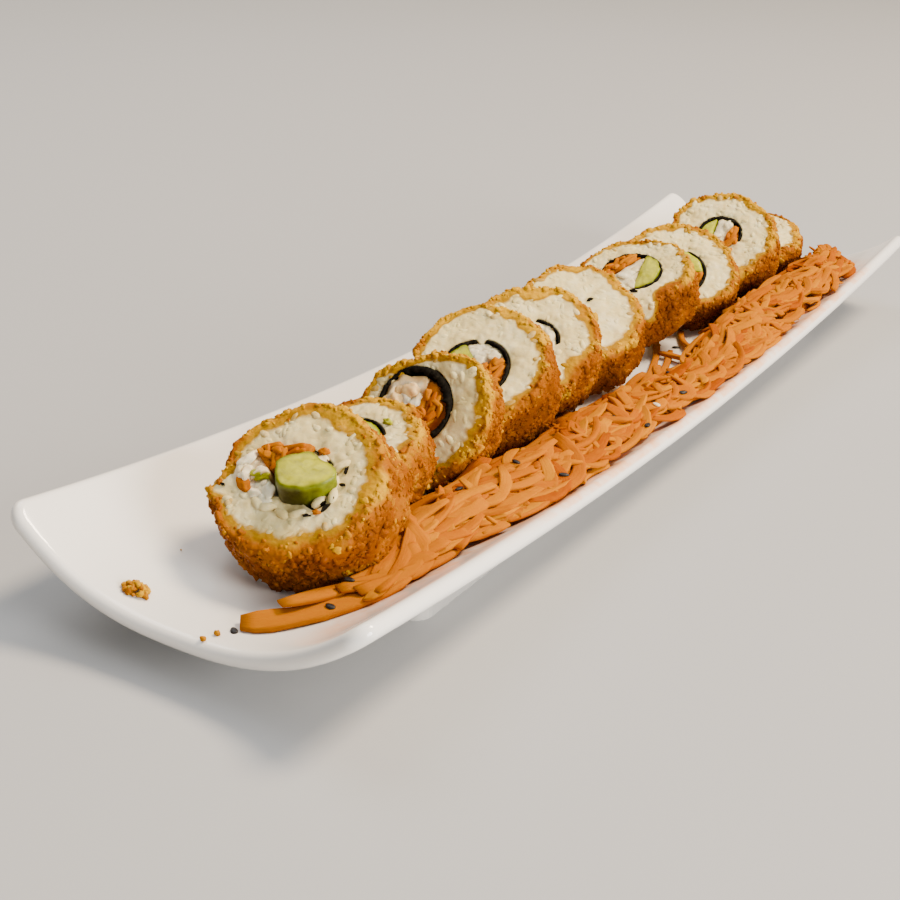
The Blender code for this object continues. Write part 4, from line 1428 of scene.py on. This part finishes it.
def bend_strip(shape, path, width, thick, twist, slant):
    """The strip's points moved onto a path, with slanted, thinner ends and wavy sides."""
    along = (shape[:, 0] + 0.5) * (len(path) - 1)
    station = np.clip(np.round(along).astype(int), 0, len(path) - 1)
    line = np.array([list(p) for p in path])
    ahead = unit(np.gradient(line, axis=0))
    across = unit(np.cross(ahead, [0, 0, 1.0]))
    up = np.cross(across, ahead)
    share = np.linspace(0, 1, len(path))
    turn = twist * (share - 0.5)
    side = across * np.cos(turn)[:, None] + up * np.sin(turn)[:, None]
    over = np.cross(side, ahead)
    near_end = np.minimum(share, 1 - share)
    slim = np.minimum(1, 0.75 + 4 * near_end)
    slim *= np.array([1 + 0.22 * noise.noise(p / (5 * MM)) for p in path])
    thin = np.minimum(1, 0.5 + 4 * near_end)
    offset = side[station] * (shape[:, 1] * width * slim[station])[:, None]
    offset += over[station] * (shape[:, 2] * thick * thin[station])[:, None]
    shear = slant * np.maximum(0, 1 - near_end * 6)
    offset += ahead[station] * (shape[:, 1] * width * shear[station])[:, None]
    return line[station] + offset


def make_shreds(bank, material):
    """Shreds laid one on another along the bank, the long tail first."""
    draw = random.Random(SHRED_DRAWS)
    shape, corners = strip_template()
    points, faces, values = [], [], []

    def lay(path, width, thick, twist, shade, slant):
        moved = bend_strip(shape, path, width, thick, twist, slant)
        faces.append(corners + len(shape) * len(points))
        points.append(moved)
        length = sum((b - a).length for a, b in zip(path, path[1:]))
        values.append(np.stack([np.full(len(shape), shade), shape[:, 1] * width,
                                shape[:, 0] * length], axis=1))
        for p in path:
            bank.raise_to(p.x, p.y, width * 0.36, p.z + thick * 0.42)

    for x0, y0, x1, y1, width, bow in TAIL:
        middle = ((x0 + x1) / 2 * MM, (y0 + y1) / 2 * MM)
        heading = math.atan2(y1 - y0, x1 - x0)
        length = math.hypot(x1 - x0, y1 - y0) * MM
        path = shred_path(bank, middle, heading, length, bow, width * MM, TAIL_THICK)
        if path:
            lay(path, width * MM, TAIL_THICK, draw.gauss(0, 0.2), 0.75, 0.1)
    for k in range(SHREDS):
        s = (k * GOLDEN + 0.03) % 1
        y = HEAP_START + 8 * MM + (HEAP_END - HEAP_START - 16 * MM) * s
        inner, outer = heap_sides(y)[0], shred_edge(y)
        for attempt in range(SHRED_TRIES):
            length = draw.uniform(*SHRED_LENGTH) * (1.1 - 0.4 * s)
            heading = math.radians(90 + draw.gauss(*SHRED_TURN))
            x = inner + (outer - inner) * draw.betavariate(1.6, 1.0)
            width = draw.uniform(*SHRED_WIDTH) * (1.1 - 0.45 * s)
            thick = draw.uniform(*SHRED_THICK)
            bend = draw.gauss(0, 1.0)
            curl = draw.choice(SHRED_CURLS) * MM
            path = shred_path(bank, (x, y), heading, length, bend, width, thick, curl)
            if not path or any(p.x > shred_edge(p.y) or in_bare_part(p) for p in path):
                continue
            shade = draw.betavariate(1.8, 1.3)
            lay(path, width, thick, draw.gauss(0, 0.8), shade, draw.uniform(-0.5, 0.5))
            break
    strips = joined("carrot_strips", points, faces, values, ("shade", "across", "along"))
    return finish_piece(strips, material)


def seed_shape():
    """A sesame seed: a flat drop."""
    bm = ball(3)
    for vertex in bm.verts:
        vertex.co.y *= 1 - 0.45 * vertex.co.x
    return template(bm)


def make_seeds(tree):
    """Sesame that lies on whatever is under it."""
    draw = random.Random(SESAME_DRAWS)
    shapes = [seed_shape()]
    size = Matrix.Diagonal((SEED_LENGTH, SEED_WIDTH, SEED_THICK, 1))
    placed = []
    for x, y in SEEDS:
        z = top_of(tree, x * MM, y * MM)
        tilt = turned(draw.gauss(0, 0.15), "X")
        turn = turned(draw.uniform(0, math.pi))
        matrix = Matrix.Translation((x * MM, y * MM, z + 0.25 * MM)) @ turn @ tilt @ size
        placed.append((0, matrix, 0.5))
    dark = sesame("Black sesame", (0.006, 0.005, 0.006), (0.03, 0.025, 0.022))
    pale = sesame("White sesame", (0.62, 0.48, 0.28), (0.82, 0.72, 0.52))
    for name, part, material in (("black_sesame", placed[:-WHITE_SEEDS], dark),
                                 ("white_sesame", placed[-WHITE_SEEDS:], pale)):
        scatter(name, shapes, part, ("shade",), material)


def make_loose_crumbs(plate_tree, shapes, material):
    """Crumbs that fell on the plate: one clump near its end and a few strays."""
    draw = random.Random(FALLEN_DRAWS)
    spots, placed = [], []
    for k in range(CLUMP):
        angle, far = draw.uniform(0, 2 * math.pi), math.sqrt(draw.random())
        spots.append((CLUMP_PLACE[0] + CLUMP_HALF[0] * far * math.cos(angle),
                      CLUMP_PLACE[1] + CLUMP_HALF[1] * far * math.sin(angle),
                      (1 - far) * CLUMP_HEIGHT, draw.uniform(1.0, 2.0)))
    spots += SINGLE_CRUMBS
    for k in range(STRAYS):
        spots.append((draw.uniform(-30, 8), draw.uniform(-200, 190), 0.2,
                      draw.uniform(0.4, 0.9)))
    for x, y, lift, size in spots:
        floor = top_of(plate_tree, x * MM, y * MM)
        turn = turned(draw.uniform(0, 6.28), Vector((draw.random(), 0.4, 1)))
        place = Matrix.Translation((x * MM, y * MM, floor + (lift + size * 0.3) * MM))
        placed.append((draw.randrange(4), place @ turn @ Matrix.Scale(size * MM, 4), 1.0,
                       draw.uniform(0.0, 0.3)))
    scatter("fallen_crumbs", shapes, placed, CRUST_VALUES, material)


# Room: floor, light and camera


def make_floor():
    bm = bmesh.new()
    bmesh.ops.create_grid(bm, x_segments=1, y_segments=1, size=FLOOR_HALF)
    floor = from_bmesh("floor", bm, outward=False)
    finish = Finish("Pale floor", Roughness=0.7)
    grey = finish.ramp(finish.grain(0.8, 2), (0.3, 0.36), (0.7, 0.38))
    finish.feed(finish.shader, {"Base Color": grey})
    floor.data.materials.append(finish.material)


def make_lights():
    for name, place, width, power, colour in LIGHTS:
        light = bpy.data.lights.new(name, "AREA")
        light.shape = "DISK"
        light.size = width
        light.energy = power
        light.color = colour
        lamp = link(name, light)
        lamp.location = place
        lamp.rotation_euler = (-Vector(place)).to_track_quat("-Z", "Y").to_euler()
    world = bpy.data.worlds.new("Studio")
    world.use_nodes = True
    background = world.node_tree.nodes["Background"]
    background.inputs["Color"].default_value = SKY_COLOUR
    background.inputs["Strength"].default_value = SKY_STRENGTH
    bpy.context.scene.world = world


def make_camera():
    camera = link("Camera", bpy.data.cameras.new("Camera"))
    camera.data.lens = CAMERA_LENS
    camera.data.sensor_width = CAMERA_SENSOR
    turn = turned(math.radians(CAMERA_TURN))
    down = turned(math.radians(90 - CAMERA_DOWN), "X")
    roll = turned(math.radians(CAMERA_ROLL))
    camera.matrix_world = Matrix.Translation(CAMERA_PLACE) @ turn @ down @ roll
    bpy.context.scene.camera = camera


def main():
    noise.seed_set(CRAG_SEED)
    plate = make_plate()
    plate_tree = tree_of([plate])
    fried = fried_rice()
    looks = dict(seaweed=seaweed(), carrot=carrot("Carrot filling"), avocado=avocado())
    for name, colours in FLESH.items():
        looks[name] = moist_flesh(*colours)
    blocks = [block_shape(k) for k in range(4)]
    lumps = [knobby_ball(k + 7, 3, 0.3, 1.0) for k in range(4)]
    crumbs = [knobby_ball(k, detail, 0.4, 1.0) for detail in (1, 2) for k in range(3)]
    fallen = [knobby_ball(k + 7, 2, 0.25, 0.8) for k in range(4)]
    grains = [rice_grain(k) for k in range(4)]
    bodies, cuts = [], []
    for index, facts in enumerate(SLICES, start=1):
        cut = Slice(index, facts)
        cuts.append(cut)
        bodies.append(cut.body(fried))
        cut.crumbs(crumbs, fried)
        cut.grains(grains, fried)
        cut.seaweed(looks["seaweed"])
        for name in facts["filling"]:
            make_filling(cut, name, looks[name], *CUT_ENDS[name])
            if name in SCRAPS:
                shapes = blocks if name == "carrot" else lumps
                make_scraps(cut, name, looks[name], shapes, *SCRAPS[name])
    for name in BITS:
        make_bits(name, cuts, lumps, looks[name])
    bank = Bank(plate_tree, tree_of(bodies))
    orange = carrot("Carrot")
    core = make_heap_core(plate_tree, bank, orange)
    strips = make_shreds(bank, orange)
    make_seeds(tree_of([plate, core, strips]))
    make_loose_crumbs(plate_tree, fallen, fried)
    make_floor()
    make_lights()
    make_camera()


main()
